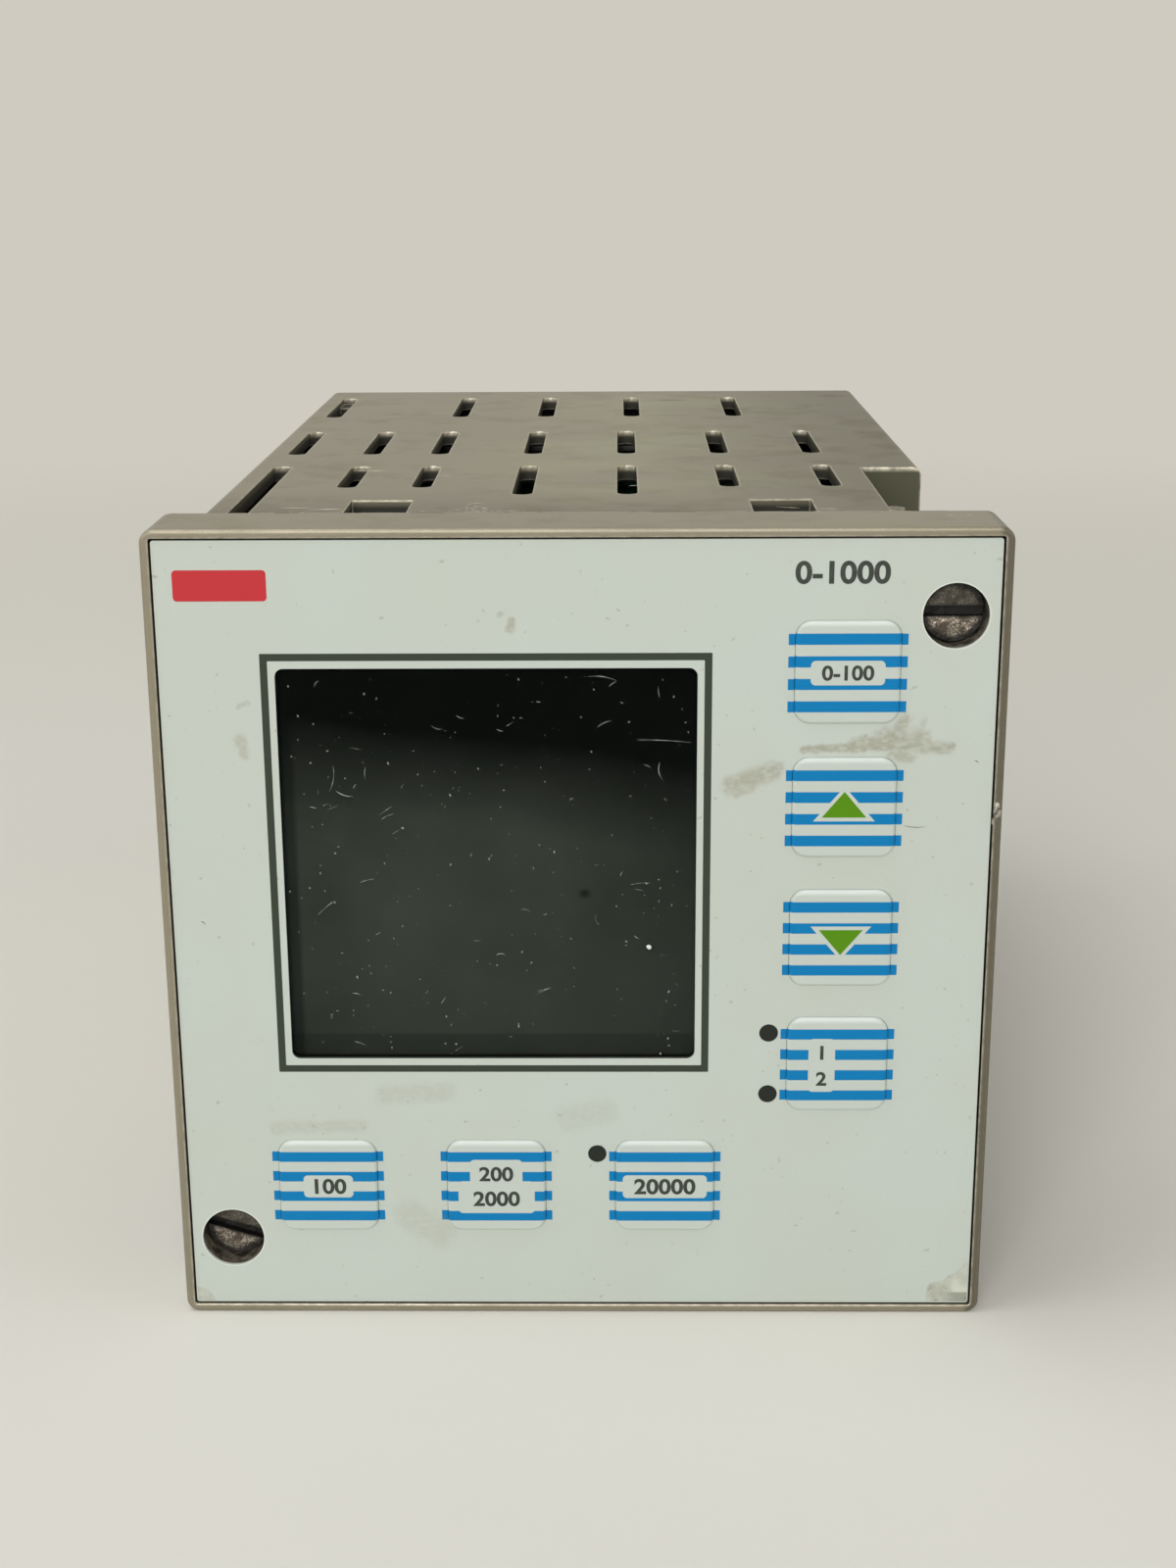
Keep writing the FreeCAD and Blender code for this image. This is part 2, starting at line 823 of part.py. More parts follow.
def make_rear_panel_screws():
    screws = []
    for x, z in corners_of("post_centre"):
        head_y = ("rear_face", "rear_face + rear_screw_head_height")
        head = slotted_head(x, z, head_y, "rear_screw_head")
        shank = rod(x, z, ("rear_panel_front - rear_screw_length + 1", "rear_face"), "rear_screw_radius")
        screws.append(join([head, shank]))
    keep("rear_panel_screws", group(screws))


def make_backplane():
    """Board across the tube with one edge socket for each plug-in board."""
    width = centred("0", "backplane_width")
    keep("backplane_board", box(width, ("backplane_y", "backplane_back"), width))

    sockets = []
    for board_x in ("main_board_x", "io_board_x", "power_board_x"):
        shell = join(
            [
                box(
                    centred(board_x, "socket_width"),
                    ("socket_front", "backplane_y"),
                    centred("0", "socket_height"),
                ),
                box(
                    centred(board_x, "socket_ear_width"),
                    ("socket_front + socket_step", "backplane_y"),
                    centred("0", "socket_height + socket_step"),
                ),
            ]
        )
        mouth = box(
            centred(board_x, "board_thickness + 4 * slip"),
            ("socket_front - 1", "tongue_end + 1"),
            centred("0", "tongue_height + 10 * slip"),
        )
        sockets.append(cut(shell, [mouth]))
    keep("backplane_sockets", group(sockets))


def make_terminal_block(name):
    """Screw terminals in one moulding: a groove for the screws and a hole for each wire."""
    x, z = TERMINALS[name]
    poles = TERMINAL_POLES[name]
    body = new_body(f"terminal_block_{name}")
    outline = across(body, "backplane_back")
    draw_rectangle(outline, centred(x, "terminal_width"), centred(z, terminal_height(name)))
    pad_between(body, outline, "backplane_back", "terminal_back")

    outline = across(body, "terminal_back")
    groove_x = f"{x} - terminal_width / 5"
    draw_rectangle(outline, centred(groove_x, "terminal_groove"), centred(z, terminal_height(name)))
    pocket(body, outline, "terminal_groove_depth", reverse=True)

    outline = across(body, "terminal_back")
    first = f"{z} - {poles - 1} * terminal_pitch / 2"
    draw_rectangle(
        outline,
        centred(f"{x} + terminal_width / 4", "wire_hole"),
        centred(first, "wire_hole"),
    )
    hole = pocket(body, outline, "wire_hole_depth", reverse=True)
    row = body.newObject("PartDesign::LinearPattern", "WireHoles")
    row.Originals = [hole]
    row.Direction = (origin_feature(body, "Z_Axis"), [""])
    bind(row, "Length", f"{poles - 1} * terminal_pitch")
    row.Occurrences = poles
    body.Tip = row


def make_terminal_screws():
    screws = []
    floor = "terminal_back - terminal_groove_depth"
    for name, (x, z) in TERMINALS.items():
        poles = TERMINAL_POLES[name]
        for pole in range(poles):
            height = f"{z} + {pole - (poles - 1) / 2} * terminal_pitch"
            screws.append(
                slotted_head(
                    f"{x} - terminal_width / 5",
                    height,
                    (floor, f"{floor} + terminal_screw_height"),
                    "terminal_screw_radius",
                )
            )
    keep("terminal_screws", group(screws))


def make_option_cover():
    """Blank plate over the unused option slot, with its two screws."""
    plate = box(
        centred("cover_x", "cover_width"),
        ("rear_face", "rear_face + cover_thickness"),
        centred("0", "cover_height"),
    )
    keep("option_cover", plate)
    front = "rear_face + cover_thickness"
    screws = []
    for side in ("1", "-1"):
        z = f"{side} * (cover_height / 2 - cover_edge * 1.5)"
        head_y = (front, f"{front} + cover_screw_height")
        screws.append(slotted_head("cover_x", z, head_y, "cover_screw_radius"))
    keep("option_cover_screws", group(screws))


def make_earth_screw():
    """Large slotted screw for the protective earth."""
    head_y = ("rear_face", "rear_face + earth_screw_height")
    keep("earth_screw", slotted_head("terminal_mains_x", "earth_z", head_y, "earth_screw_radius"))


# ---------------------------------------------------------------- front of the plug-in unit


def draw_front_openings(drawing, key_gap, lens_gap):
    """Openings for the keys and the indicators, shared by the foil and the plate."""
    for x, z in KEYS.values():
        draw_rounded(
            drawing,
            (x, z),
            f"key_width + 2 * {key_gap}",
            f"key_height + 2 * {key_gap}",
            f"key_corner + {key_gap}",
        )
    for x, z in INDICATORS:
        draw_circle(drawing, x, z, f"indicator_radius + {lens_gap}")


def draw_display_opening(drawing):
    middle = ("display_x", "display_z")
    draw_rounded(drawing, middle, "display_width", "display_height", "display_corner")


def draw_screw_circles(drawing, radius):
    for side in ("1", "-1"):
        draw_circle(drawing, f"{side} * screw_x", f"{side} * screw_z", radius)


def make_front_plate():
    """Hollow front moulding: wall, skirt, screw towers and arms that grip the boards."""
    body = new_body("front_plate")
    outline = across(body, "plate_front")
    draw_rounded(outline, ("0", "0"), "front_width", "front_width", "front_corner")
    pad_between(body, outline, "plate_front", "skirt_back")

    outline = across(body, "skirt_back")
    draw_rounded(outline, ("0", "0"), "skirt_inner", "skirt_inner", "front_corner")
    pocket(body, outline, "skirt_back - plate_back", reverse=True)

    outline = across(body, "plate_back")
    draw_screw_circles(outline, "tower_radius")
    pad_between(body, outline, "plate_back", "head_seat + screw_floor")

    outline = across(body, "plate_front")
    draw_screw_circles(outline, "screw_hole_radius")
    pocket(body, outline, "head_seat - plate_front")

    outline = across(body, "plate_front")
    draw_screw_circles(outline, "screw_shank_radius + screw_clearance")
    pocket(body, outline)

    outline = across(body, "plate_front")
    draw_display_opening(outline)
    draw_front_openings(outline, "key_gap", "lens_gap")
    pocket(body, outline, "plate_wall")

    outline = across(body, "plate_back")
    draw_rectangle(
        outline,
        centred("display_x", "glass_width + 2 * glass_gap"),
        centred("display_z", "glass_height + 2 * glass_gap"),
    )
    pocket(body, outline, "plate_back - glass_front", reverse=True)
    add_board_arms(body)


LOWER_SLOT_TURN = 17
BOARDS = {"main_board": "main_board_x", "io_board": "io_board_x", "power_board": "power_board_x"}


def add_board_arms(body):
    """Arms at the top and the bottom of each board, grooved for its edge."""
    outline = across(body, "plate_back")
    for board_x in BOARDS.values():
        x = centred(board_x, "arm_width")
        draw_rectangle(outline, x, ("arm_bottom", "arm_top"))
        draw_rectangle(outline, x, ("-arm_top", "-arm_bottom"))
    pad_between(body, outline, "plate_back", "arm_end")

    outline = across(body, "keypad_back")
    for board_x in BOARDS.values():
        groove = centred(board_x, "board_thickness + 2 * slip")
        draw_rectangle(outline, groove, centred("0", "board_height + 2 * slip"))
    pocket(body, outline, "arm_end - keypad_back")


def make_front_overlay():
    """Printed foil on the front plate."""
    body = new_body("front_overlay")
    outline = across(body, "foil_front")
    draw_rounded(outline, ("0", "0"), "front_width", "front_width", "front_corner")
    pad_between(body, outline, "foil_front", "plate_front")
    outline = across(body, "foil_front")
    draw_display_opening(outline)
    draw_front_openings(outline, "key_gap", "lens_gap")
    draw_screw_circles(outline, "screw_hole_radius")
    pocket(body, outline)


def make_display_window():
    """Clear pane that closes the opening in the foil."""
    body = new_body("display_window")
    outline = across(body, "foil_front")
    draw_display_opening(outline)
    pad_between(body, outline, "foil_front", "plate_front")


def make_display():
    """Liquid crystal cell, its backlight and the stamped frame round them."""
    x = "display_x"
    z = "display_z"
    cell = box(centred(x, "glass_width"), ("glass_front", "glass_back"), centred(z, "glass_height"))
    keep("display_glass", cell)
    light = box(
        centred(x, "glass_width"),
        ("glass_back", "backlight_back"),
        centred(z, "glass_height"),
    )
    keep("display_backlight", light)
    depth = ("plate_back", "backlight_back")
    outer = box(
        centred(x, "glass_width + 2 * slip + 2 * display_frame_wall"),
        depth,
        centred(z, "glass_height + 2 * slip + 2 * display_frame_wall"),
    )
    inner = box(
        centred(x, "glass_width + 2 * slip"),
        ("plate_back - 1", "backlight_back + 1"),
        centred(z, "glass_height + 2 * slip"),
    )
    keep("display_frame", cut(outer, [inner]))


def make_indicators():
    """Light guides in the front plate, each with its lamp behind."""
    lenses = []
    lamps = []
    for x, z in INDICATORS:
        lamp_top = "keypad_front - lamp_height"
        lenses.append(rod(x, z, ("foil_front", f"{lamp_top} - 2 * slip"), "indicator_radius"))
        width = "lamp_width"
        lamps.append(box(centred(x, width), (lamp_top, "keypad_front"), centred(z, width)))
    keep("indicator_lenses", group(lenses))
    keep("indicator_leds", group(lamps))


def make_keypad_board():
    """Board behind the front plate, cleared round the arms and the screw towers."""
    width = centred("0", "keypad_board_width")
    depth = ("keypad_front", "keypad_back")
    past = ("keypad_front - 1", "keypad_back + 1")
    tools = []
    for board_x in BOARDS.values():
        x = centred(board_x, "arm_width + 4 * slip")
        for side in ("1", "-1"):
            z = centred(f"{side} * (arm_top + arm_bottom) / 2", "arm_height + 6 * slip")
            tools.append(box(x, past, z))
    for side in ("1", "-1"):
        place = (f"{side} * screw_x", f"{side} * screw_z")
        tools.append(rod(*place, past, "tower_radius + 2 * slip"))
    clear_x = "pocket_inner_x - wall - 4 * slip"
    clear_z = "pocket_floor_z - wall - 4 * slip"
    tools.append(box((clear_x, "half_tube"), past, (clear_z, "half_tube")))
    tools.append(box(("-half_tube", f"-({clear_x})"), past, ("-half_tube", f"-({clear_z})")))
    keep("keypad_board", cut(box(width, depth, width), tools))


def make_key_domes():
    domes = []
    for x, z in KEYS.values():
        dome = DOC.addObject("Part::Cone", "Dome")
        dome.Placement.Rotation = FreeCAD.Rotation(FreeCAD.Vector(1, 0, 0), -90)
        bind(dome, "Radius1", "dome_radius / 2")
        bind(dome, "Radius2", "dome_radius")
        bind(dome, "Height", "dome_height")
        bind(dome, "Placement.Base.x", x)
        bind(dome, "Placement.Base.y", "keypad_front - dome_height")
        bind(dome, "Placement.Base.z", z)
        domes.append(dome)
    keep("key_domes", group(domes))


def make_key(node, place):
    """Raised key: rounded pad, a flange that holds it in the plate and a stem."""
    body = new_body(node)
    bind(body, "Placement.Base.x", place[0])
    bind(body, "Placement.Base.z", place[1])
    outline = across(body, "key_front")
    draw_rounded(outline, ("0", "0"), "key_width", "key_height", "key_corner")
    cap = pad_between(body, outline, "key_front", "plate_back")
    round_edges(body, cap, "key_front", "key_round")

    outline = across(body, "plate_back")
    flange = "2 * key_flange_edge"
    draw_rounded(outline, ("0", "0"), f"key_width + {flange}", f"key_height + {flange}", "key_corner")
    pad_between(body, outline, "plate_back", "flange_back")

    outline = across(body, "flange_back")
    draw_circle(outline, "0", "0", "key_stem_radius")
    pad_between(body, outline, "flange_back", "stem_back")


def make_front_screw(node, side, turn):
    """Captive slotted screw, left with its slot turned away from level."""
    head = rod("0", "0", ("head_front", "head_seat"), "screw_head_radius")
    slot = box(
        centred("0", "3 * screw_head_radius"),
        ("head_front - 1", "head_front + screw_slot_depth"),
        centred("0", "screw_slot_width"),
    )
    shank = rod("0", "0", ("head_seat", "screw_end"), "screw_shank_radius")
    screw = keep(node, join([cut(head, [slot]), shank]))
    bind(screw, "Placement.Base.x", f"{side} * screw_x")
    bind(screw, "Placement.Base.z", f"{side} * screw_z")
    screw.Placement.Rotation = FreeCAD.Rotation(FreeCAD.Vector(0, 1, 0), turn)


def make_retaining_rings():
    """Rings on the screw shanks, behind the front plate."""
    for node, side in (("retaining_ring_upper", "1"), ("retaining_ring_lower", "-1")):
        place = (f"{side} * screw_x", f"{side} * screw_z")
        start = "head_seat + screw_floor + slip"
        disc = rod(*place, (start, f"{start} + ring_thickness"), "ring_radius")
        hole = rod(*place, (f"{start} - 1", f"{start} + ring_thickness + 1"), "screw_shank_radius")
        keep(node, cut(disc, [hole]))


# ---------------------------------------------------------------- boards of the plug-in unit


def make_boards():
    """Three upright boards, each with a tongue for its edge socket."""
    for node, board_x in BOARDS.items():
        x = centred(board_x, "board_thickness")
        sheet = box(x, ("board_front", "board_end"), centred("0", "board_height"))
        tongue = box(x, ("board_end - 1", "tongue_end"), centred("0", "tongue_height"))
        keep(node, join([sheet, tongue]))


def make_board_headers():
    """Connectors that join the boards to the keypad board."""
    headers = []
    for board_x in BOARDS.values():
        shell = box(
            centred(board_x, "header_width"),
            ("keypad_back", "keypad_back + header_depth"),
            centred("0", "header_height"),
        )
        mouth = box(
            centred(board_x, "board_thickness + 2 * slip"),
            ("board_front - slip", "keypad_back + header_depth + 1"),
            centred("0", "header_height + 1"),
        )
        headers.append(cut(shell, [mouth]))
    keep("board_headers", group(headers))


# Front edge, middle height, length and width of each chip on the main board.
CHIPS = [
    (14.0, 12.0, 24.0, 24.0),
    (48.0, 16.0, 20.0, 14.0),
    (48.0, -12.0, 20.0, 14.0),
    (78.0, 2.0, 10.0, 22.0),
]


def make_main_board_chips():
    """Processor, memories and converter on the main board."""
    face = "main_board_x + board_thickness / 2"
    chips = []
    for start, height, length, width in CHIPS:
        chips.append(
            box(
                (face, f"{face} + chip_thickness"),
                (str(start), str(start + length)),
                centred(str(height), str(width)),
            )
        )
    keep("main_board_chips", group(chips))


def make_output_relays():
    face = "io_board_x + board_thickness / 2"
    relays = []
    for place in (-1, 0, 1):
        relays.append(
            box(
                (face, f"{face} + relay_width"),
                ("relay_y", "relay_y + relay_length"),
                centred(f"{place} * relay_pitch", "relay_height"),
            )
        )
    keep("output_relays", group(relays))


def make_transformer():
    """Laminated core with two windows, and the winding on its middle leg."""
    face = "power_board_x - board_thickness / 2"
    stack = (f"{face} - winding_margin - core_stack", f"{face} - winding_margin")
    middle_y = "core_y + core_length / 2"
    core = box(stack, ("core_y", "core_y + core_length"), centred("0", "core_height"))
    window_width = "core_length / 2 - 2 * core_leg"
    windows = []
    for side in ("1", "-1"):
        middle = f"{middle_y} + {side} * (core_leg + ({window_width}) / 2)"
        windows.append(
            box(
                (f"{stack[0]} - 1", f"{stack[1]} + 1"),
                centred(middle, window_width),
                centred("0", "core_height - 2 * core_leg"),
            )
        )
    keep("transformer_core", cut(core, windows))

    bobbin = box(
        (f"{stack[0]} - winding_margin", face),
        centred(middle_y, f"2 * (core_leg + {window_width} - slip)"),
        centred("0", "core_height - 2 * core_leg - 2 * slip"),
    )
    leg = box(
        (f"{stack[0]} - slip", f"{stack[1]} + slip"),
        centred(middle_y, "2 * core_leg + 2 * slip"),
        centred("0", "core_height"),
    )
    keep("transformer_winding", cut(bobbin, [leg]))


def make_capacitors():
    face = "power_board_x - board_thickness / 2"
    cans = []
    for side in ("1", "-1"):
        can = DOC.addObject("Part::Cylinder", "Can")
        can.Placement.Rotation = FreeCAD.Rotation(FreeCAD.Vector(0, 1, 0), -90)
        bind(can, "Radius", "capacitor_radius")
        bind(can, "Height", "capacitor_length")
        bind(can, "Placement.Base.x", face)
        bind(can, "Placement.Base.y", "capacitor_y")
        bind(can, "Placement.Base.z", f"{side} * capacitor_pitch / 2")
        cans.append(can)
    keep("smoothing_capacitors", group(cans))


def make_board_spacer():
    """Frame that ties the rear ends of the three boards together."""
    depth = ("spacer_y", "spacer_y + spacer_depth")
    past = ("spacer_y - 1", "spacer_y + spacer_depth + 1")
    left = "main_board_x - board_thickness - spacer_side"
    right = "power_board_x + board_thickness + spacer_side"
    top = "board_height / 2 + slip + spacer_side / 4"
    frame = box((left, right), depth, (f"-({top})", top))
    inside = "board_height / 2 - spacer_reach"
    hollow = box((f"{left} + spacer_side", f"{right} - spacer_side"), past, (f"-({inside})", inside))
    slots = []
    for board_x in BOARDS.values():
        x = centred(board_x, "board_thickness + 2 * slip")
        slots.append(box(x, past, centred("0", "board_height + 2 * slip")))
    keep("board_spacer", cut(frame, [hollow] + slots))


# ---------------------------------------------------------------- build, check and write


def build_all():
    make_case_shell()
    make_gasket()
    make_screw_inserts()
    make_rear_panel()
    make_rear_panel_screws()
    make_backplane()
    for name in TERMINALS:
        make_terminal_block(name)
    make_terminal_screws()
    make_option_cover()
    make_earth_screw()
    make_front_plate()
    make_front_overlay()
    make_display_window()
    make_display()
    make_indicators()
    make_keypad_board()
    make_key_domes()
    for node, place in KEYS.items():
        make_key(node, place)
    make_front_screw("front_screw_upper", "1", 0)
    make_front_screw("front_screw_lower", "-1", LOWER_SLOT_TURN)
    make_retaining_rings()
    make_boards()
    make_board_headers()
    make_main_board_chips()
    make_output_relays()
    make_transformer()
    make_capacitors()
    make_board_spacer()
    DOC.recompute()


def check_all():
    """Stop if any object of the document failed or any sub-part is not a sound solid."""
    for item in DOC.Objects:
        if "Invalid" in item.State or "Error" in item.State:
            raise RuntimeError(f"{item.Name} ({item.Label}) failed: {item.State}")
        if item.TypeId == "PartDesign::Pocket" and item.Shape.Volume > item.BaseFeature.Shape.Volume - TOUCH:
            raise RuntimeError(f"{item.Name} cut nothing")
    for node, item in NODES.items():
        shape = item.Shape
        if shape.isNull() or not shape.isValid() or not shape.Solids:
            raise RuntimeError(node + " is not a sound solid")


def write_all():
    os.makedirs("parts", exist_ok=True)
    for node, item in NODES.items():
        item.Shape.exportStep(f"parts/{node}.step")
        print(f"{node}: {len(item.Shape.Solids)} solid(s), {item.Shape.Volume:.1f} mm3")


build_all()
check_all()
write_all()
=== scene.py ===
# %% [markdown]
# # A panel-mount process controller
# The controller has a square bezel, a vented case behind it and a printed front with
# raised keys. The CAD model already holds every solid piece at its real size. This file
# gives each surface its finish, adds the print, the wear and the small electronic parts,
# and sets up the light and the camera.

import math
import random
from functools import partial

import bmesh
import bpy
from mathutils import Matrix, Vector


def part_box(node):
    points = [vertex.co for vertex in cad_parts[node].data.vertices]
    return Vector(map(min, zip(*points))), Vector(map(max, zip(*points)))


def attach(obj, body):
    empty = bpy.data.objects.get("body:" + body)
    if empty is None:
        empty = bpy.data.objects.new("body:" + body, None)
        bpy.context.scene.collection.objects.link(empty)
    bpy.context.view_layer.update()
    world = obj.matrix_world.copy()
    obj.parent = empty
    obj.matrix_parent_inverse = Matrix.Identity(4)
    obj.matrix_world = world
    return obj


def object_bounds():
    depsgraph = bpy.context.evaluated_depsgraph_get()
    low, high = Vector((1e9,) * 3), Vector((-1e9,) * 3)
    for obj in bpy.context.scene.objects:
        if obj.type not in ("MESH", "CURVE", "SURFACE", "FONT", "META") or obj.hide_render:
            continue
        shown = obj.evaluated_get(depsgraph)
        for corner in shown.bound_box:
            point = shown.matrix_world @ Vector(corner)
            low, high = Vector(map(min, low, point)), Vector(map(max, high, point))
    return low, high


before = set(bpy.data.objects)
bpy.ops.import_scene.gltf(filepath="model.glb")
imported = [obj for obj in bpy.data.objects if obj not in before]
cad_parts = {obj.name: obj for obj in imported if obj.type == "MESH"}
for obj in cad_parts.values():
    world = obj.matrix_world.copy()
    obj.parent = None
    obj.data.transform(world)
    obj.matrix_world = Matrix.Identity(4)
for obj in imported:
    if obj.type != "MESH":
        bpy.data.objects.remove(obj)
cad_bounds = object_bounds()
print("CAD box in metres:", cad_bounds)

# %% [markdown]
# ## Units and colours
# The frame is in metres, but a front panel is drawn in millimetres, so one constant turns
# one into the other. Colours are written as the sRGB hex values that a print shop or a
# paint chart gives. Shaders need linear light, so one function converts them.

# %% Units and colours
MM = 0.001


def linear(code, alpha=1.0):
    """An sRGB hex colour such as '#8c8573' as linear red, green, blue and alpha."""
    channels = [int(code[i : i + 2], 16) / 255 for i in (1, 3, 5)]
    bent = [c / 12.92 if c <= 0.04045 else ((c + 0.055) / 1.055) ** 2.4 for c in channels]
    return (*bent, alpha)


def add(tree, kind, links=None, **settings):
    """Add one node, set its properties, and set or link its inputs.

    A node among the links stands for its first output.
    """
    node = tree.nodes.new(kind)
    for name, value in settings.items():
        setattr(node, name, value)
    for name, value in (links or {}).items():
        if isinstance(value, bpy.types.Node):
            value = value.outputs[0]
        if isinstance(value, bpy.types.NodeSocket):
            tree.links.new(value, node.inputs[name])
        else:
            node.inputs[name].default_value = value
    return node


def tree_of(*values):
    """The node tree that the sockets among some values belong to."""
    return next(value.id_data for value in values if isinstance(value, bpy.types.NodeSocket))


def calculate(operation, first, second=0.0, third=0.0):
    """Arithmetic on numbers or sockets."""
    links = {0: first, 1: second, 2: third}
    tree = tree_of(first, second, third)
    return add(tree, "ShaderNodeMath", links, operation=operation).outputs[0]


plus = partial(calculate, "ADD")
minus = partial(calculate, "SUBTRACT")
multiply_add = partial(calculate, "MULTIPLY_ADD")
over = partial(calculate, "GREATER_THAN")
under = partial(calculate, "LESS_THAN")


def ramp(value, low, high, start=0.0, end=1.0, **settings):
    """Stretch the part of a value between low and high over start to end."""
    links = {0: value, 1: low, 2: high, 3: start, 4: end}
    return add(tree_of(value), "ShaderNodeMapRange", links, **settings).outputs[0]


def chain(operation, total, *others):
    """One operation over a row of values, from left to right."""
    for value in others:
        total = calculate(operation, total, value)
    return total


def either(*masks):
    """The strongest of several masks."""
    return chain("MAXIMUM", *masks)


def times(*factors):
    """The product of several masks or numbers."""
    return chain("MULTIPLY", *factors)


def new_material(name):
    """An empty material and its node tree."""
    material = bpy.data.materials.new(name)
    material.use_nodes = True
    material.node_tree.nodes.clear()
    return material, material.node_tree


def surface(tree, **sockets):
    """Close a material with a Principled shader whose sockets are named with underscores."""
    links = {name.replace("_", " "): value for name, value in sockets.items()}
    shader = add(tree, "ShaderNodeBsdfPrincipled", links)
    add(tree, "ShaderNodeOutputMaterial", {"Surface": shader})


def paint(material, *node_names):
    """Give CAD nodes their finish."""
    for node_name in node_names:
        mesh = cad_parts[node_name].data
        mesh.materials.clear()
        mesh.materials.append(material)


def new_object(name, data):
    """An object that is linked to the scene."""
    thing = bpy.data.objects.new(name, data)
    bpy.context.scene.collection.objects.link(thing)
    return thing


def front_of(node_name):
    """The front face of a CAD node's box, its least y, in millimetres."""
    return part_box(node_name)[0][1] / MM


def middle(node_name):
    """The centre of a CAD node's box, in millimetres."""
    low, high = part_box(node_name)
    return Vector([(low[i] + high[i]) / 2 / MM for i in range(3)])


# %% [markdown]
# ## Camera
# A lens of about 50 mm stands a quarter of a metre in front of the panel and looks down on
# it by sixteen degrees, so the top of the case shows behind the bezel and its sides hide.

# %% Camera
CAMERA_PLACE = Vector((4.66, -248.8, 89.5)) * MM
CAMERA_DOWN = 16.52
CAMERA_LEFT = 0.84
CAMERA_ROLL = -0.34
CAMERA_LENS = 50.5

camera_data = bpy.data.cameras.new("camera")
camera_data.lens = CAMERA_LENS
camera_data.sensor_width = 36
camera_data.clip_start = 0.01
camera = new_object("camera", camera_data)
camera.matrix_world = (
    Matrix.Translation(CAMERA_PLACE)
    @ Matrix.Rotation(math.radians(CAMERA_LEFT), 4, "Z")
    @ Matrix.Rotation(math.radians(90 - CAMERA_DOWN), 4, "X")
    @ Matrix.Rotation(math.radians(CAMERA_ROLL), 4, "Z")
)
bpy.context.scene.camera = camera
bpy.context.scene.view_settings.view_transform = "Standard"
print("camera at", tuple(round(value, 4) for value in CAMERA_PLACE))

# %% [markdown]
# ## Light
# A soft studio: one large lamp in front, one overhead for the top of the case, a weaker one
# on each side and a dim world that fills the shadows. The lamps are set so that a colour
# renders about as it is written.

# %% Lamps
# Each row holds a lamp's place, its width and its power.
LAMPS = {
    "key_lamp": ((-0.20, -1.40, 0.66), 1.00, 12.9),
    "left_lamp": ((-0.90, -0.15, 0.45), 0.60, 1.5),
    "right_lamp": ((0.90, -0.25, 0.50), 0.60, 1.2),
    "top_lamp": ((-0.30, -0.05, 0.95), 0.60, 2.9),
}
LIT_POINT = Vector((0, 0.05, 0))
for lamp_name, (place, width, power) in LAMPS.items():
    lamp_data = bpy.data.lights.new(lamp_name, "AREA")
    lamp_data.size = width
    lamp_data.energy = power
    lamp = new_object(lamp_name, lamp_data)
    lamp.location = place
    lamp.rotation_euler = (LIT_POINT - Vector(place)).to_track_quat("-Z", "Y").to_euler()
print(len(LAMPS), "lamps")

# %% [markdown]
# ## Background
# The background has to look pale without more light on the object. So what the camera,
# metal and glass see of the world and of the far paper is its own plain colour, while the
# object is lit by a much dimmer world. `Light Path` tells the two kinds of ray apart.

# %% Room
PAPER_TONE = "#cfcbc0"


def seen_directly(tree):
    """1 for rays from the camera and for those that gloss or glass sends on."""
    ray = add(tree, "ShaderNodeLightPath")
    kinds = ("Is Camera Ray", "Is Glossy Ray", "Is Transmission Ray")
    return either(*[ray.outputs[kind] for kind in kinds])


world = bpy.data.worlds.new("studio")
world.use_nodes = True
bpy.context.scene.world = world
tree = world.node_tree
tree.nodes.clear()
room = add(tree, "ShaderNodeBackground", {"Color": linear("#dcdbd6"), "Strength": 0.34})
backdrop = add(tree, "ShaderNodeBackground", {"Color": linear(PAPER_TONE), "Strength": 1.0})
links = {0: seen_directly(tree), 1: room, 2: backdrop}
which = add(tree, "ShaderNodeMixShader", links)
add(tree, "ShaderNodeOutputWorld", {"Surface": which})

# %% [markdown]
# The floor is a sheet that curves up behind the object, like paper on a product table.
# Near the object it is ordinary paper, which keeps the shadow. Further off it turns into
# its own flat tone, so the paper has no dark corners.

# %% Paper
FLOOR_BACK = 0.9
FLOOR_BEND = 0.35
FLOOR_REACH = 3.0
BEND_STEPS = 12
floor_z = cad_bounds[0][2]
profile = [(-FLOOR_REACH, floor_z), (FLOOR_BACK, floor_z)]
for step in range(1, BEND_STEPS + 1):
    turn = math.radians(90 * step / BEND_STEPS)
    along = FLOOR_BACK + FLOOR_BEND * math.sin(turn)
    profile.append((along, floor_z + FLOOR_BEND * (1 - math.cos(turn))))
profile.append((FLOOR_BACK + FLOOR_BEND, FLOOR_REACH))
corners = [(side, y, z) for y, z in profile for side in (-FLOOR_REACH, FLOOR_REACH)]
strips = [(2 * i, 2 * i + 1, 2 * i + 3, 2 * i + 2) for i in range(len(profile) - 1)]
floor_mesh = bpy.data.meshes.new("floor")
floor_mesh.from_pydata(corners, [], strips)
floor_mesh.shade_smooth()
floor = new_object("floor", floor_mesh)

paper, tree = new_material("matt_paper")
source = add(tree, "ShaderNodeTexCoord").outputs["Object"]
away = add(tree, "ShaderNodeVectorMath", {0: source}, operation="LENGTH").outputs["Value"]
far = times(ramp(away, 0.22, 0.75), seen_directly(tree))
lit = add(tree, "ShaderNodeBsdfPrincipled", {"Base Color": linear("#e9e7df"), "Roughness": 0.9})
flat = add(tree, "ShaderNodeEmission", {"Color": linear(PAPER_TONE), "Strength": 1.0})
both = add(tree, "ShaderNodeMixShader", {0: far, 1: lit, 2: flat})
add(tree, "ShaderNodeOutputMaterial", {"Surface": both})
floor_mesh.materials.append(paper)

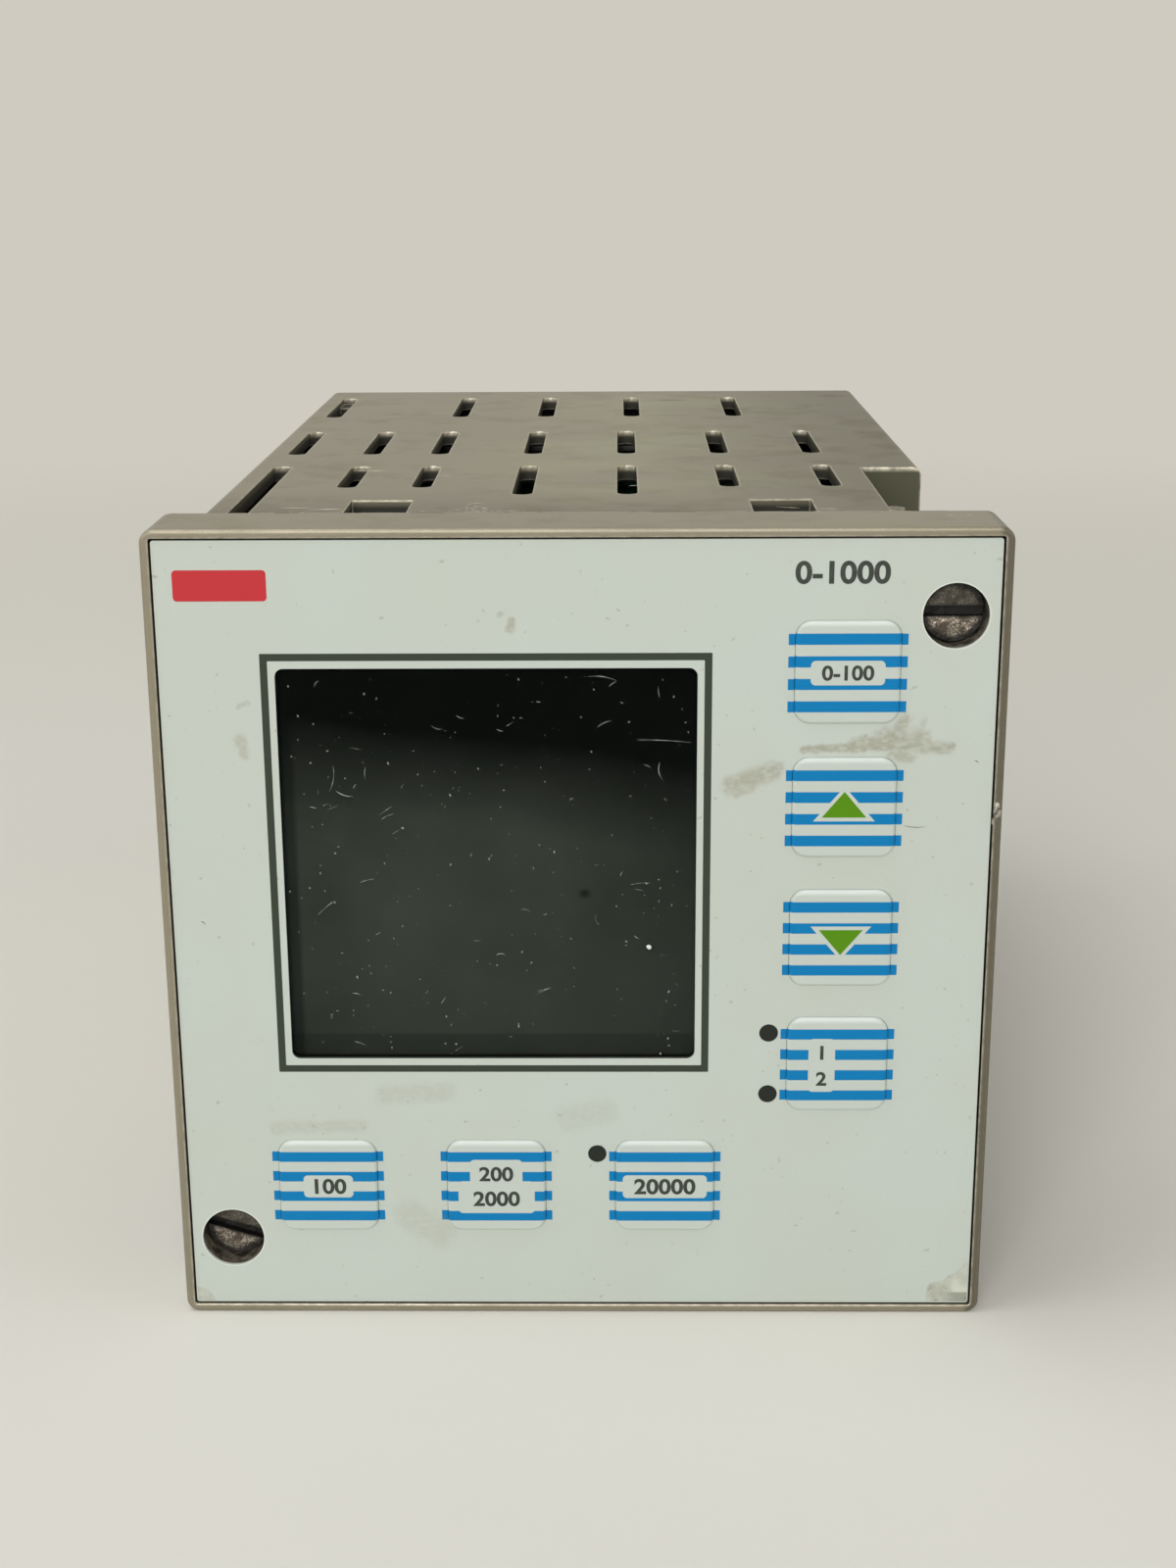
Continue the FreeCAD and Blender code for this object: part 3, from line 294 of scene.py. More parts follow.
# %% [markdown]
# ## Patterns that several finishes share
# Print and wear are placed in millimetres on the object, so every pattern starts from
# Object coordinates. A mask is a number between 0 and 1. `inside` marks a band, and the
# other small functions combine bands into patches, smudges and scratches.

# %% Shared patterns
SMOOTH = "SMOOTHSTEP"


def placed_material(name):
    """A new material, its tree, and Object coordinates in mm as a vector and as x, y, z."""
    material, tree = new_material(name)
    source = add(tree, "ShaderNodeTexCoord").outputs["Object"]
    links = {0: source, "Scale": 1 / MM}
    vector = add(tree, "ShaderNodeVectorMath", links, operation="SCALE").outputs[0]
    return material, tree, vector, add(tree, "ShaderNodeSeparateXYZ", {0: vector}).outputs


def apart(value, centre):
    """How far a value is from a centre."""
    return calculate("ABSOLUTE", minus(value, centre))


def inside(value, centre, half):
    """1 where a value is less than half away from a centre."""
    return under(apart(value, centre), half)


def rounded_patch(x, z, centre, size, radius):
    """1 inside a rectangle with rounded corners."""
    reach = []
    for value, at, width in zip((x, z), centre, size):
        past = minus(apart(value, at), width / 2 - radius)
        reach.append(calculate("MAXIMUM", past, 0.0))
    squares = [times(value, value) for value in reach]
    length = calculate("SQRT", plus(*squares))
    return under(length, radius)


def soft_spot(x, z, centre, size, softness=0.5):
    """A smooth oval patch that fades out at its rim."""
    squares = []
    for value, at, width in zip((x, z), centre, size):
        part = calculate("DIVIDE", minus(value, at), width / 2)
        squares.append(times(part, part))
    radius = calculate("SQRT", plus(*squares))
    return ramp(radius, 1 - softness, 1 + softness, 1.0, 0.0, interpolation_type=SMOOTH)


def from_centre(x, z, centre):
    """How far a point of the front is from a centre."""
    off_x = minus(x, centre.x)
    off_z = minus(z, centre.z)
    square = multiply_add(off_z, off_z, times(off_x, off_x))
    return calculate("SQRT", square)


def noise(vector, size_mm, detail=3.0, stretch=(1, 1, 1)):
    """Noise whose blobs are about size_mm across, between 0 and 1."""
    scale = [factor / size_mm for factor in stretch]
    tree = tree_of(vector)
    fitted = add(tree, "ShaderNodeVectorMath", {0: vector, 1: scale}, operation="MULTIPLY")
    links = {"Vector": fitted, "Scale": 1.0, "Detail": detail}
    return add(tree, "ShaderNodeTexNoise", links).outputs[0]


def blend(mask, first, second):
    """From the first colour to the second. Each is a hex code, linear light or a socket."""
    first, second = [linear(c) if isinstance(c, str) else c for c in (first, second)]
    links = {0: mask, 6: first, 7: second}
    node = add(tree_of(mask), "ShaderNodeMix", links, data_type="RGBA")
    return node.outputs[2]


def bump(height, strength, depth_mm, **links):
    """A normal that follows a height between 0 and 1."""
    links = {"Height": height, "Strength": strength, "Distance": depth_mm * MM, **links}
    return add(tree_of(height), "ShaderNodeBump", links).outputs[0]


def two_tones(name, first, second, size_mm, low, high, detail=3.0, most=1.0, **sockets):
    """A finish that wanders from one colour to another in blobs of a given size."""
    material, tree, vector, _ = placed_material(name)
    share = ramp(noise(vector, size_mm, detail), low, high, 0.0, most)
    surface(tree, Base_Color=blend(share, first, second), **sockets)
    return material


def streak(x, z, start, end, half_width):
    """1 along a line on the front, fading out towards its rim."""
    along_x, along_z = end[0] - start[0], end[1] - start[1]
    square = along_x**2 + along_z**2
    from_x = minus(x, start[0])
    from_z = minus(z, start[1])
    share = times(from_x, along_x / square)
    share = multiply_add(from_z, along_z / square, share)
    share = add(tree_of(share), "ShaderNodeClamp", {0: share}).outputs[0]
    off_x = multiply_add(share, -along_x, from_x)
    off_z = multiply_add(share, -along_z, from_z)
    off_x = times(off_x, off_x)
    away = calculate("SQRT", multiply_add(off_z, off_z, off_x))
    return ramp(away, half_width * 1.5, half_width * 0.4, interpolation_type=SMOOTH)


# %% [markdown]
# ## The case: moulded plastic with a metallised coat
# The bezel and the tube behind it are one moulding with a thin conductive coat, the colour
# of warm nickel. The coat is satin, with a fine grain of metal flakes, and it is duller
# where hands and grease have been. Each edge catches the light because the mould rounds
# it. The Bevel node gives that small radius to the vent slots. The walls of the slots, the
# bore and the clamp pockets carry painted shade, and there the coat is also rougher and
# less metallic. The top carries painted shade towards its right and its front. The right
# side of the rim is painted darker, partly as dirt and partly as painted shade. The edges
# are painted paler, partly as rubbed wear and partly as a painted highlight.

# %% Case finish
# Sizes in millimetres: the mould's edge radius, half the width of the tube, where a
# clamp pocket begins, its floor and its rear end, and the rear end of the top windows.
EDGE_RADIUS = 0.45
HALF_TUBE = 45.7
POCKET_INNER = 37.4
POCKET_FLOOR = 30.4
POCKET_END = 49.7
WINDOW_END = 24.0
# Fainter scuffs on the case top: the centre, the size and the strength of each.
SCUFFS = [
    ((-20.0, 14.0), (34.0, 3.0), 0.5),
    ((24.0, 13.0), (16.0, 3.0), 0.5),
    ((43.0, -3.0), (3.0, 2.0), 0.4),
]


def shade_inside(x, y, z):
    """Painted shade: 1 on the walls of the slots and in the bore, and a second mask for the clamp
    pockets.
    """
    depths = [
        ramp(calculate("ABSOLUTE", value), HALF_TUBE - 0.3, HALF_TUBE - 1.0)
        for value in (z, x)
    ]
    behind = ramp(y, 0.1, 0.4)
    up = times(z, calculate("SIGN", x))
    beside = over(calculate("ABSOLUTE", x), POCKET_INNER - 0.1)
    above = over(up, POCKET_FLOOR - 0.1)
    before = under(y, POCKET_END + 0.1)
    pocket_shade = times(beside, above, before, behind)
    return times(*depths, behind, minus(1.0, pocket_shade)), pocket_shade


def metallised_plastic():
    material, tree, vector, (x, y, z) = placed_material("metallised_plastic")
    rounded = add(tree, "ShaderNodeBevel", {"Radius": EDGE_RADIUS * MM}, samples=6)
    true_normal = add(tree, "ShaderNodeNewGeometry").outputs["True Normal"]
    links = {0: rounded, 1: true_normal}
    agree = add(tree, "ShaderNodeVectorMath", links, operation="DOT_PRODUCT")
    edge = ramp(agree.outputs["Value"], 0.995, 0.86)

    grain = noise(vector, 0.22, 1.0)
    cloud = noise(vector, 26.0, 3.0)
    handling = noise(vector, 7.0, 4.0)
    coat = blend(ramp(cloud, 0.35, 0.70), "#948c79", "#8b8472")
    coat = blend(ramp(grain, 0.3, 0.7, 0.0, 0.3), coat, "#aaa28e")
    dull_and_shade = ramp(handling, 0.50, 0.75, 0.0, 0.22)
    coat = blend(dull_and_shade, coat, "#827e6a")

    film = either(
        soft_spot(x, y, (10.0, 62.0), (44.0, 84.0), 0.6),
        soft_spot(x, y, (20.0, 118.0), (50.0, 30.0), 0.6),
    )
    patches = ramp(noise(vector, 16.0, 2.0, (0.6, 1, 1)), 0.36, 0.60, 0.1, 0.75)
    coat = blend(times(film, patches), coat, "#a3a583")
    # Painted shade: the top is coloured darker towards its right and towards the bezel.
    top_shade = either(ramp(x, 8.0, 40.0, 0.12, 0.95), ramp(y, 36.0, 8.0, 0.0, 0.85))
    top_shade = times(top_shade, over(y, 0.5))
    coat = blend(top_shade, coat, "#625d47")
    on_bezel = under(y, 0.0)
    # The right side of the rim is coloured darker: partly dirt, partly painted shade.
    grime_and_shade = times(ramp(x, 46.2, 46.8, 0.0, 0.8), on_bezel)
    coat = blend(grime_and_shade, coat, "#5d584b")
    stain = soft_spot(x, y, (13.5, 128.0), (5.0, 2.2), 0.4)
    coat = blend(times(stain, 0.7), coat, "#4b4a3c")

    # Painted shade: the clamp pockets and the walls of the slots and the bore are coloured dark.
    inner_shade, pocket_shade = shade_inside(x, y, z)
    coat = blend(times(pocket_shade, 0.75), coat, "#565848")
    coat = blend(times(inner_shade, 0.95), coat, "#2e2d25")

    # Painted highlight: walls that face forward just under the top, at the rear ends of the slots
    # behind the windows, are coloured pale. The rounded edges are coloured pale too, partly as
    # rubbed wear and partly as a painted highlight.
    facing = add(tree, "ShaderNodeSeparateXYZ", {0: true_normal})
    forward = under(facing.outputs[1], -0.5)
    near_top = ramp(z, HALF_TUBE - 0.75, HALF_TUBE - 0.3)
    past_windows = over(y, WINDOW_END)
    slot_end_highlight = times(forward, near_top, past_windows)
    broken_up = ramp(noise(vector, 1.2), 0.35, 0.6, 0.35, 0.95)
    rubbed_and_highlit = times(either(edge, slot_end_highlight), broken_up)
    coat = blend(rubbed_and_highlit, coat, "#ded7c3")

    scuffs = [soft_spot(x, y, (-13.0, 16.5), (3.4, 4.0), 0.3)]
    for place, size, share in SCUFFS:
        scuffs.append(times(soft_spot(x, y, place, size, 0.3), share))
    scuffed = either(*scuffs)
    chips = ramp(noise(vector, 0.8, 3.0), 0.55, 0.60)
    coat = blend(times(scuffed, chips), coat, "#c9cec3")

    seam = times(inside(y, -0.06, 0.22), over(z, 47.2))
    left_on = ramp(noise(vector, 7.0, 3.0, (1, 0, 0)), 0.50, 0.53)
    coat = blend(times(seam, left_on), coat, "#24231d")

    rough = ramp(either(dull_and_shade, inner_shade), 0.0, 1.0, 0.34, 0.8)
    metal = ramp(inner_shade, 0.0, 1.0, 0.55, 0.1)
    flakes = bump(grain, 0.10, 0.05, Normal=rounded.outputs[0])
    surface(tree, Base_Color=coat, Metallic=metal, Roughness=rough, Normal=flakes)
    return material


paint(metallised_plastic(), "case_shell")

# %% [markdown]
# ## The printed foil
# The whole front is one polyester foil, printed from behind: white, with a dark square
# line round the display and four blue stripes across each key. The stripes run past the
# raised part of the key on to the flat foil, so the foil and the keys share the function
# that draws them.

# %% Key layout
KEY_NODES = [
    "key_setpoint",
    "key_raise",
    "key_lower",
    "key_manual_auto",
    "key_indication",
    "key_escape",
    "key_confirm",
]
KEY_AT = {name: (middle(name).x, middle(name).z) for name in KEY_NODES}
STRIPE_WIDTH = 13.25
STRIPE_HEIGHT = 1.27
STRIPE_PITCH = 2.57
FOIL_WHITE = linear("#c7cfc7")
PRINT_BLUE = linear("#007dba")
PRINT_DARK = linear("#3b4237")
PRINT_GREEN = linear("#578f0a")
PRINT_RED = linear("#c41c28")
FINGER_DIRT = linear("#9c9781")


def stripes(x, z, key, lower=0.0):
    """The four stripes of one key: two pairs, each a pitch apart."""
    at_x, at_z = KEY_AT[key][0], KEY_AT[key][1] - lower
    across = inside(x, at_x, STRIPE_WIDTH / 2)
    from_pair = apart(apart(z, at_z), STRIPE_PITCH)
    band = inside(from_pair, STRIPE_PITCH / 2, STRIPE_HEIGHT / 2)
    return times(across, band)


# %% [markdown]
# Years of fingers leave warm smears on the white, most of all between the upper keys. A
# smear is a wipe: a line with a soft width. Noise frays its border and thins its inside.

# %% Smears
# Each row holds the two ends of a wipe, half its width and its strength.
WIPES = [
    ((25.6, 22.9), (42.0, 23.1), 0.46, 0.70),
    ((31.0, 23.3), (36.6, 24.5), 0.80, 0.70),
    ((34.6, 24.0), (38.2, 23.9), 1.35, 0.60),
    ((35.8, 24.6), (36.7, 26.4), 0.75, 0.55),
    ((35.4, 22.3), (37.4, 22.0), 0.70, 0.50),
    ((38.6, 23.1), (41.6, 23.0), 0.75, 0.55),
    ((38.7, 25.3), (38.9, 26.2), 0.35, 0.25),
    ((17.2, 18.6), (22.0, 20.3), 1.10, 0.60),
    ((18.0, 17.8), (19.6, 18.4), 0.60, 0.45),
    ((-37.6, 22.4), (-37.8, 24.2), 0.70, 0.40),
    ((-7.2, 36.8), (-7.3, 37.6), 0.50, 0.55),
    ((-8.4, 38.4), (-8.1, 38.7), 0.30, 0.40),
    ((-36.8, 28.4), (-37.9, 28.0), 0.30, 0.35),
    ((-23.0, -19.4), (-16.0, -19.0), 1.20, 0.20),
    ((-36.0, -23.6), (-26.0, -23.4), 0.80, 0.22),
    ((-20.5, -35.0), (-17.0, -37.5), 1.90, 0.20),
    ((-1.5, -22.5), (3.0, -21.5), 1.60, 0.16),
]


def smears(vector, x, z, wipes):
    """Wipes together as one mask, with frayed borders and a patchy inside."""
    fray = noise(vector, 1.1, 4.0)
    push = multiply_add(fray, 1.0, -0.5)
    frayed_x = plus(x, times(push, 1.6))
    frayed_z = plus(z, push)
    patchy = ramp(noise(vector, 0.45, 4.0, (0.6, 1, 1)), 0.34, 0.56, 0.45, 1.0)
    masks = []
    for start, end, half_width, strength in wipes:
        mask = streak(frayed_x, frayed_z, start, end, half_width)
        masks.append(times(mask, strength))
    return times(either(*masks), patchy)


def foil_surface(tree, vector, colour, dirt):
    """Satin polyester: a faint orange peel, duller where it is dirty."""
    peel = noise(vector, 0.9, 2.0)
    rough = ramp(dirt, 0.0, 1.0, 0.34, 0.6)
    normal = bump(peel, 0.05, 0.05)
    surface(tree, Base_Color=colour, Roughness=rough, Specular_IOR_Level=0.18, Normal=normal)


# %% Foil finish
DISPLAY = middle("display_window")
FRAME_OUTER = 50.45
FRAME_LINE = 0.85
HOLE_RADIUS = 3.7
STUB_DROP = 0.12


def printed_foil():
    material, tree, vector, (x, _, z) = placed_material("printed_polyester_foil")
    tint = ramp(noise(vector, 22.0, 3.0), 0.38, 0.68, 0.0, 0.5)
    colour = blend(tint, FOIL_WHITE, "#c6cbbe")
    specks = ramp(noise(vector, 0.8, 1.0), 0.74, 0.79, 0.0, 0.4)
    colour = blend(specks, colour, "#98937f")
    # Painted highlight: a pale ring along the cut edge of the foil round each screw hole.
    for screw in ("front_screw_upper", "front_screw_lower"):
        rim = inside(from_centre(x, z, middle(screw)), HOLE_RADIUS, 0.14)
        colour = blend(times(rim, 0.5), colour, "#eef1e8")

    for key in KEY_NODES:
        colour = blend(stripes(x, z, key, STUB_DROP), colour, PRINT_BLUE)
    squares = [
        rounded_patch(x, z, (DISPLAY.x, DISPLAY.z), (width, width), 0.1)
        for width in (FRAME_OUTER, FRAME_OUTER - 2 * FRAME_LINE)
    ]
    colour = blend(minus(*squares), colour, PRINT_DARK)

    dirt = smears(vector, x, z, WIPES)
    colour = blend(dirt, colour, FINGER_DIRT)
    foil_surface(tree, vector, colour, dirt)
    return material


paint(printed_foil(), "front_overlay")

# %% [markdown]
# ## Keys
# Each key is the same embossed pad with four stripes and its own mark. A mark stands in a
# white window that interrupts the stripes. The arrow keys have a green triangle with a
# white border. The marks themselves are plain numbers. The upper shoulder of a pad has a
# painted highlight, and the lower one painted shade.

# %% Key marks
# For each key: windows as (x, z, width, height) from its centre, and the direction of its arrow.
WINDOWS = {
    "key_setpoint": [(0.0, 0.0, 8.25, 2.8)],
    "key_raise": [],
    "key_lower": [],
    "key_manual_auto": [(-1.8, -0.05, 3.1, 6.7)],
    "key_indication": [(0.0, 0.0, 5.9, 2.9)],
    "key_escape": [(0.0, 1.75, 6.25, 3.5), (0.0, -1.4, 9.1, 4.2)],
    "key_confirm": [(0.0, 0.0, 10.0, 3.0)],
}
ARROWS = {"key_raise": 1, "key_lower": -1}
# Half the base, the base's height and the tip's height of the white border and the arrow.
ARROW_LAYERS = [((3.5, -1.53, 2.55), FOIL_WHITE), ((2.53, -1.09, 1.97), PRINT_GREEN)]
WINDOW_CORNER = 0.55
SMEAR_REACH = 16


def triangle(x, z, half_base, base, apex):
    """1 inside a triangle on a level base that points along +z."""
    height = minus(apex, z)
    reach = times(height, half_base / (apex - base))
    wide = under(calculate("ABSOLUTE", x), reach)
    return times(wide, over(z, base))


def printed_key(key):
    material, tree, vector, (x, _, z) = placed_material("printed_" + key)
    at_x, at_z = KEY_AT[key]
    colour = blend(stripes(x, z, key), FOIL_WHITE, PRINT_BLUE)
    for dx, dz, width, height in WINDOWS[key]:
        window = rounded_patch(x, z, (at_x + dx, at_z + dz), (width, height), WINDOW_CORNER)
        colour = blend(window, colour, FOIL_WHITE)
    if key in ARROWS:
        local_x = minus(x, at_x)
        local_z = times(minus(z, at_z), ARROWS[key])
        for sizes, print_colour in ARROW_LAYERS:
            arrow = triangle(local_x, local_z, *sizes)
            colour = blend(arrow, colour, print_colour)
    low_edge, high_edge = [corner[2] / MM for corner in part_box(key)]
    # Painted highlight along the upper shoulder of the pad, painted shade along the lower one.
    shoulder_highlight = ramp(z, high_edge - 1.3, high_edge - 0.5, 0.0, 0.85)
    colour = blend(shoulder_highlight, colour, "#eef4f0")
    dull_and_shade = ramp(z, low_edge + 0.7, low_edge + 0.1, 0.0, 0.5)
    colour = blend(dull_and_shade, colour, "#b2b8ad")
    near = [wipe for wipe in WIPES if math.dist(wipe[1], (at_x, at_z)) < SMEAR_REACH]
    dirt = smears(vector, x, z, near or WIPES[-1:])
    colour = blend(times(dirt, 0.6), colour, FINGER_DIRT)
    foil_surface(tree, vector, colour, dirt)
    return material


for key in KEY_NODES:
    paint(printed_key(key), key)

# %% [markdown]
# The numbers are real letters of ink: a text object gives the outlines, a tiny thickness
# makes them closed, and the result is a plain mesh that is scaled to the height of its
# capitals and laid on the key.

# %% Legends
INK_THICKNESS = 0.012
LETTER_WEIGHT = 0.028
LETTER_WIDTH = 1.08
# Any small depth closes the letters. Their real thickness is set afterwards.
ROUGH_DEPTH = 0.005
# Each row holds a key, its text, the offset from the key's centre and the capitals' height.
LEGENDS = [
    ("key_setpoint", "0-100", 0.0, 0.0, 1.75),
    ("key_manual_auto", "1", -1.8, 1.55, 1.75),
    ("key_manual_auto", "2", -1.8, -1.75, 1.75),
    ("key_indication", "100", 0.0, 0.0, 2.0),
    ("key_escape", "200", 0.0, 1.62, 1.9),
    ("key_escape", "2000", 0.0, -1.62, 1.95),
    ("key_confirm", "20000", 0.0, 0.0, 2.05),
]

ink = two_tones("screen_print_ink", "#2a3028", "#3a4037", 0.5, 0.4, 0.7, Roughness=0.45)


def write(name, text, centre, front_y, cap_height, material):
    """Text as a closed mesh, centred on x and z and printed on the plane y = front_y."""
    curve = bpy.data.curves.new(name, "FONT")
    curve.body = text
    curve.align_x = "CENTER"
    curve.offset = LETTER_WEIGHT
    curve.extrude = ROUGH_DEPTH
    source = new_object(name + "_source", curve)
    bpy.context.view_layer.update()
    graph = bpy.context.evaluated_depsgraph_get()
    mesh = bpy.data.meshes.new_from_object(source.evaluated_get(graph))
    bpy.data.objects.remove(source)
    ups = [vertex.co.y for vertex in mesh.vertices]
    scale = cap_height / (max(ups) - min(ups))
    shift = (max(ups) + min(ups)) / 2
    for vertex in mesh.vertices:
        across, up, out = vertex.co
        depth = 0.0 if out > 0 else INK_THICKNESS
        vertex.co = (
            (centre[0] + across * scale * LETTER_WIDTH) * MM,
            (front_y - INK_THICKNESS + depth) * MM,
            (centre[1] + (up - shift) * scale) * MM,
        )
    mesh.materials.clear()
    mesh.materials.append(material)
    return new_object(name, mesh)


for index, (key, text, dx, dz, height) in enumerate(LEGENDS):
    at_x, at_z = KEY_AT[key]
    centre = (at_x + dx, at_z + dz)
    legend = write(f"legend_{index}", text, centre, front_of(key), height, ink)
    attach(legend, key)
print(len(LEGENDS), "legends")

# %% [markdown]
# ## Marks on the foil
# The two upper corners carry a plain red bar on the left and a dark range on the right.

# %% Marks on the foil
FOIL_FRONT = front_of("front_overlay")
red_ink, tree = new_material("red_screen_print_ink")
surface(tree, Base_Color=PRINT_RED, Roughness=0.4)
RED_BAR = ((-39.4, 41.7), (10.4, 3.5))


def rounded_bar(centre, size):
    """The outline of a bar with slightly rounded corners."""
    half_x, half_z = size[0] / 2, size[1] / 2
    radius = min(half_x, half_z) * 0.25
    outline = []
    for quarter, (sx, sz) in enumerate(((1, 1), (-1, 1), (-1, -1), (1, -1))):
        for step in range(5):
            turn = math.radians(90 * quarter + 22.5 * step)
            px = centre[0] + sx * (half_x - radius) + radius * math.cos(turn)
            pz = centre[1] + sz * (half_z - radius) + radius * math.sin(turn)
            outline.append((px, pz))
    return outline


def thin_sheet(name, outline, front, back, material):
    """A closed sheet: an outline in front, the same outline behind it, and the rim."""
    count = len(outline)
    points = [(x * MM, y * MM, z * MM) for y in (front, back) for x, z in outline]
    faces = [tuple(range(count)), tuple(reversed(range(count, 2 * count)))]
    faces += [(i, i + count, (i + 1) % count + count, (i + 1) % count) for i in range(count)]
    mesh = bpy.data.meshes.new(name)
    mesh.from_pydata(points, [], faces)
    shape = bmesh.new()
    shape.from_mesh(mesh)
    bmesh.ops.recalc_face_normals(shape, faces=shape.faces)
    shape.to_mesh(mesh)
    shape.free()
    mesh.materials.append(material)
    return new_object(name, mesh)


ink_front = FOIL_FRONT - INK_THICKNESS
red_bar = thin_sheet("red_bar", rounded_bar(*RED_BAR), ink_front, FOIL_FRONT, red_ink)
range_mark = write("range_mark", "0-1000", (29.3, 43.0), FOIL_FRONT, 2.6, ink)
for mark in (red_bar, range_mark):
    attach(mark, "plug_in_unit")

# %% [markdown]
# ## The display
# The window is the clear part of the same foil. Behind it, a millimetre deep, lies the
# liquid crystal cell, which is nearly black when it is switched off.

# %% Display finish


def clear_window():
    """A clear pane with a low gloss, a little greyer where fine wear has hazed it."""
    material, tree, vector, _ = placed_material("clear_polyester_window")
    haze = ramp(noise(vector, 15.0, 3.0), 0.3, 0.8)
    tint = blend(haze, "#e8e9e7", "#dcdedb")
    clear = add(tree, "ShaderNodeBsdfTransparent", {0: tint})
    gloss = add(tree, "ShaderNodeBsdfGlossy", {"Color": linear("#363836"), "Roughness": 0.1})
    edge = add(tree, "ShaderNodeFresnel", {"IOR": 1.45})
    links = {0: edge, 1: clear, 2: gloss}
    pane = add(tree, "ShaderNodeMixShader", links)
    add(tree, "ShaderNodeOutputMaterial", {"Surface": pane})
    return material


def liquid_crystal_cell():
    """Nearly black above and dark grey below, a painted reflection, with painted shade along the
    foot and the left side.
    """
    material, tree, vector, (x, _, z) = placed_material("liquid_crystal_cell")
    # Painted reflection: the lower part of the cell is coloured grey below a slanted, wavy
    # boundary.
    level = multiply_add(x, 0.138, z)
    level = multiply_add(noise(vector, 24.0, 1.0), 4.0, level)
    lower = ramp(level, DISPLAY.z + 15.5, DISPLAY.z + 4.5)
    grey = soft_spot(x, z, (DISPLAY.x - 5, DISPLAY.z - 7), (46.0, 34.0), 0.6)
    grey = blend(grey, "#5e645e", "#767c76")
    colour = blend(lower, "#0d1312", grey)
    # Painted shade along the foot and the left side of the cell. The speck is a mark on the cell.
    foot_shade = ramp(z, DISPLAY.z - 20.7, DISPLAY.z - 21.1, 0.0, 0.3)
    colour = blend(foot_shade, colour, "#1a1c1a")
    left_shade = ramp(x, DISPLAY.x - 22.5, DISPLAY.x - 21.9, 0.5, 0.0)
    speck = times(soft_spot(x, z, (0.7, 5.3), (1.1, 0.9), 0.9), 0.6)
    colour = blend(either(left_shade, speck), colour, "#181b18")
    surface(tree, Base_Color=colour, Roughness=0.35, Specular_IOR_Level=0.08)
    return material


paint(clear_window(), "display_window")
paint(liquid_crystal_cell(), "display_glass")

# %% [markdown]
# ## Front plate, indicators and screws
# The plate behind the foil is a dark moulding that shows only in the two screw wells and
# as a thin line round the foil. The indicators are dark light guides. The screws are plain
# steel, brown with old grease and rust in the slot and round the head.

# %% Small front parts


def moulded(tree, vector, colour, rough=0.5, grain_mm=0.5):
    """Close a plastic material with a fine spark-eroded grain."""
    grain = bump(noise(vector, grain_mm, 2.0), 0.15, 0.04)
    surface(tree, Base_Color=colour, Roughness=rough, Normal=grain)


def plain_moulding(name, code, *grain):
    """Moulded plastic with a faint change of tone. The grain is roughness and size."""
    material, tree, vector, _ = placed_material(name)
    tone = ramp(noise(vector, 12.0, 3.0), 0.3, 0.7, 0.0, 0.12)
    moulded(tree, vector, blend(tone, code, "#77756c"), *grain)
    return material


# The slope of each slot, so that the grease lies above it.
SLOT_SLOPE = {"front_screw_upper": 0.0, "front_screw_lower": 0.3}


def greasy_steel(screw):
    """Steel that years of grease and rust have darkened, most in the slot and at the rim."""
    material, tree, vector, (x, y, z) = placed_material("greasy_steel_" + screw)
    centre = middle(screw)
    radius = from_centre(x, z, centre)
    ragged = multiply_add(noise(vector, 0.9, 4.0), 1.1, -0.55)
    rim = ramp(plus(radius, ragged), 2.5, 3.1)
    front_y = front_of(screw)
    deep = multiply_add(ragged, 0.15, y)
    in_slot = ramp(deep, front_y + 0.04, front_y + 0.25)
    rust = ramp(noise(vector, 1.6, 5.0), 0.47, 0.60, 0.0, 0.9)
    across = minus(x, centre.x)
    above = minus(z, centre.z)
    above = multiply_add(across, SLOT_SLOPE[screw], above)
    from_slot = calculate("ABSOLUTE", multiply_add(ragged, 0.5, above))
    brimming = ramp(from_slot, 0.95, 0.60, 0.0, 0.85)
    grease = ramp(multiply_add(ragged, 0.8, above), 0.1, 0.9, 0.0, 0.75)
    grains = ramp(noise(vector, 0.16, 2.0), 0.42, 0.72)
    colour = blend(grains, "#655d51", "#d6cabb")
    colour = blend(rust, colour, "#4b3e31")
    colour = blend(grease, colour, "#3a372c")
    dark = either(in_slot, brimming, times(rim, 0.92))
    colour = blend(dark, colour, "#0f0d0a")
    cover = either(rust, grease, dark)
    metal = ramp(cover, 0.0, 1.0, 0.75, 0.1)
    rough = ramp(cover, 0.0, 1.0, 0.30, 0.6)
    pits = bump(rust, 0.7, 0.15)
    surface(tree, Base_Color=colour, Metallic=metal, Roughness=rough, Normal=pits)
    return material


def greasy_wells():
    """Black ABS whose two screw wells are brown with old grease and metal dust."""
    material, tree, vector, (x, _, z) = placed_material("black_abs")
    off = [from_centre(x, z, middle(screw)) for screw in SLOT_SLOPE]
    in_well = ramp(calculate("MINIMUM", *off), HOLE_RADIUS + 0.5, HOLE_RADIUS + 0.2)
    blotches = ramp(noise(vector, 1.1, 4.0), 0.40, 0.62)
    grease = blend(blotches, "#37332a", "#7f786a")
    colour = blend(in_well, "#33322b", grease)
    moulded(tree, vector, colour)
    return material


paint(greasy_wells(), "front_plate")
for screw in SLOT_SLOPE:
    paint(greasy_steel(screw), screw)
lens, tree = new_material("smoked_acrylic")
surface(tree, Base_Color=linear("#20231f"), Roughness=0.3, IOR=1.49, Specular_IOR_Level=0.3)
paint(lens, "indicator_lenses")

# %% [markdown]
# ## Everything inside and behind
# The boards show through the vents and when the unit is pulled out. Their solder mask is
# green with faint copper tracks under it. The other parts have the plain finishes that
# such parts have.

# %% Boards and inner parts


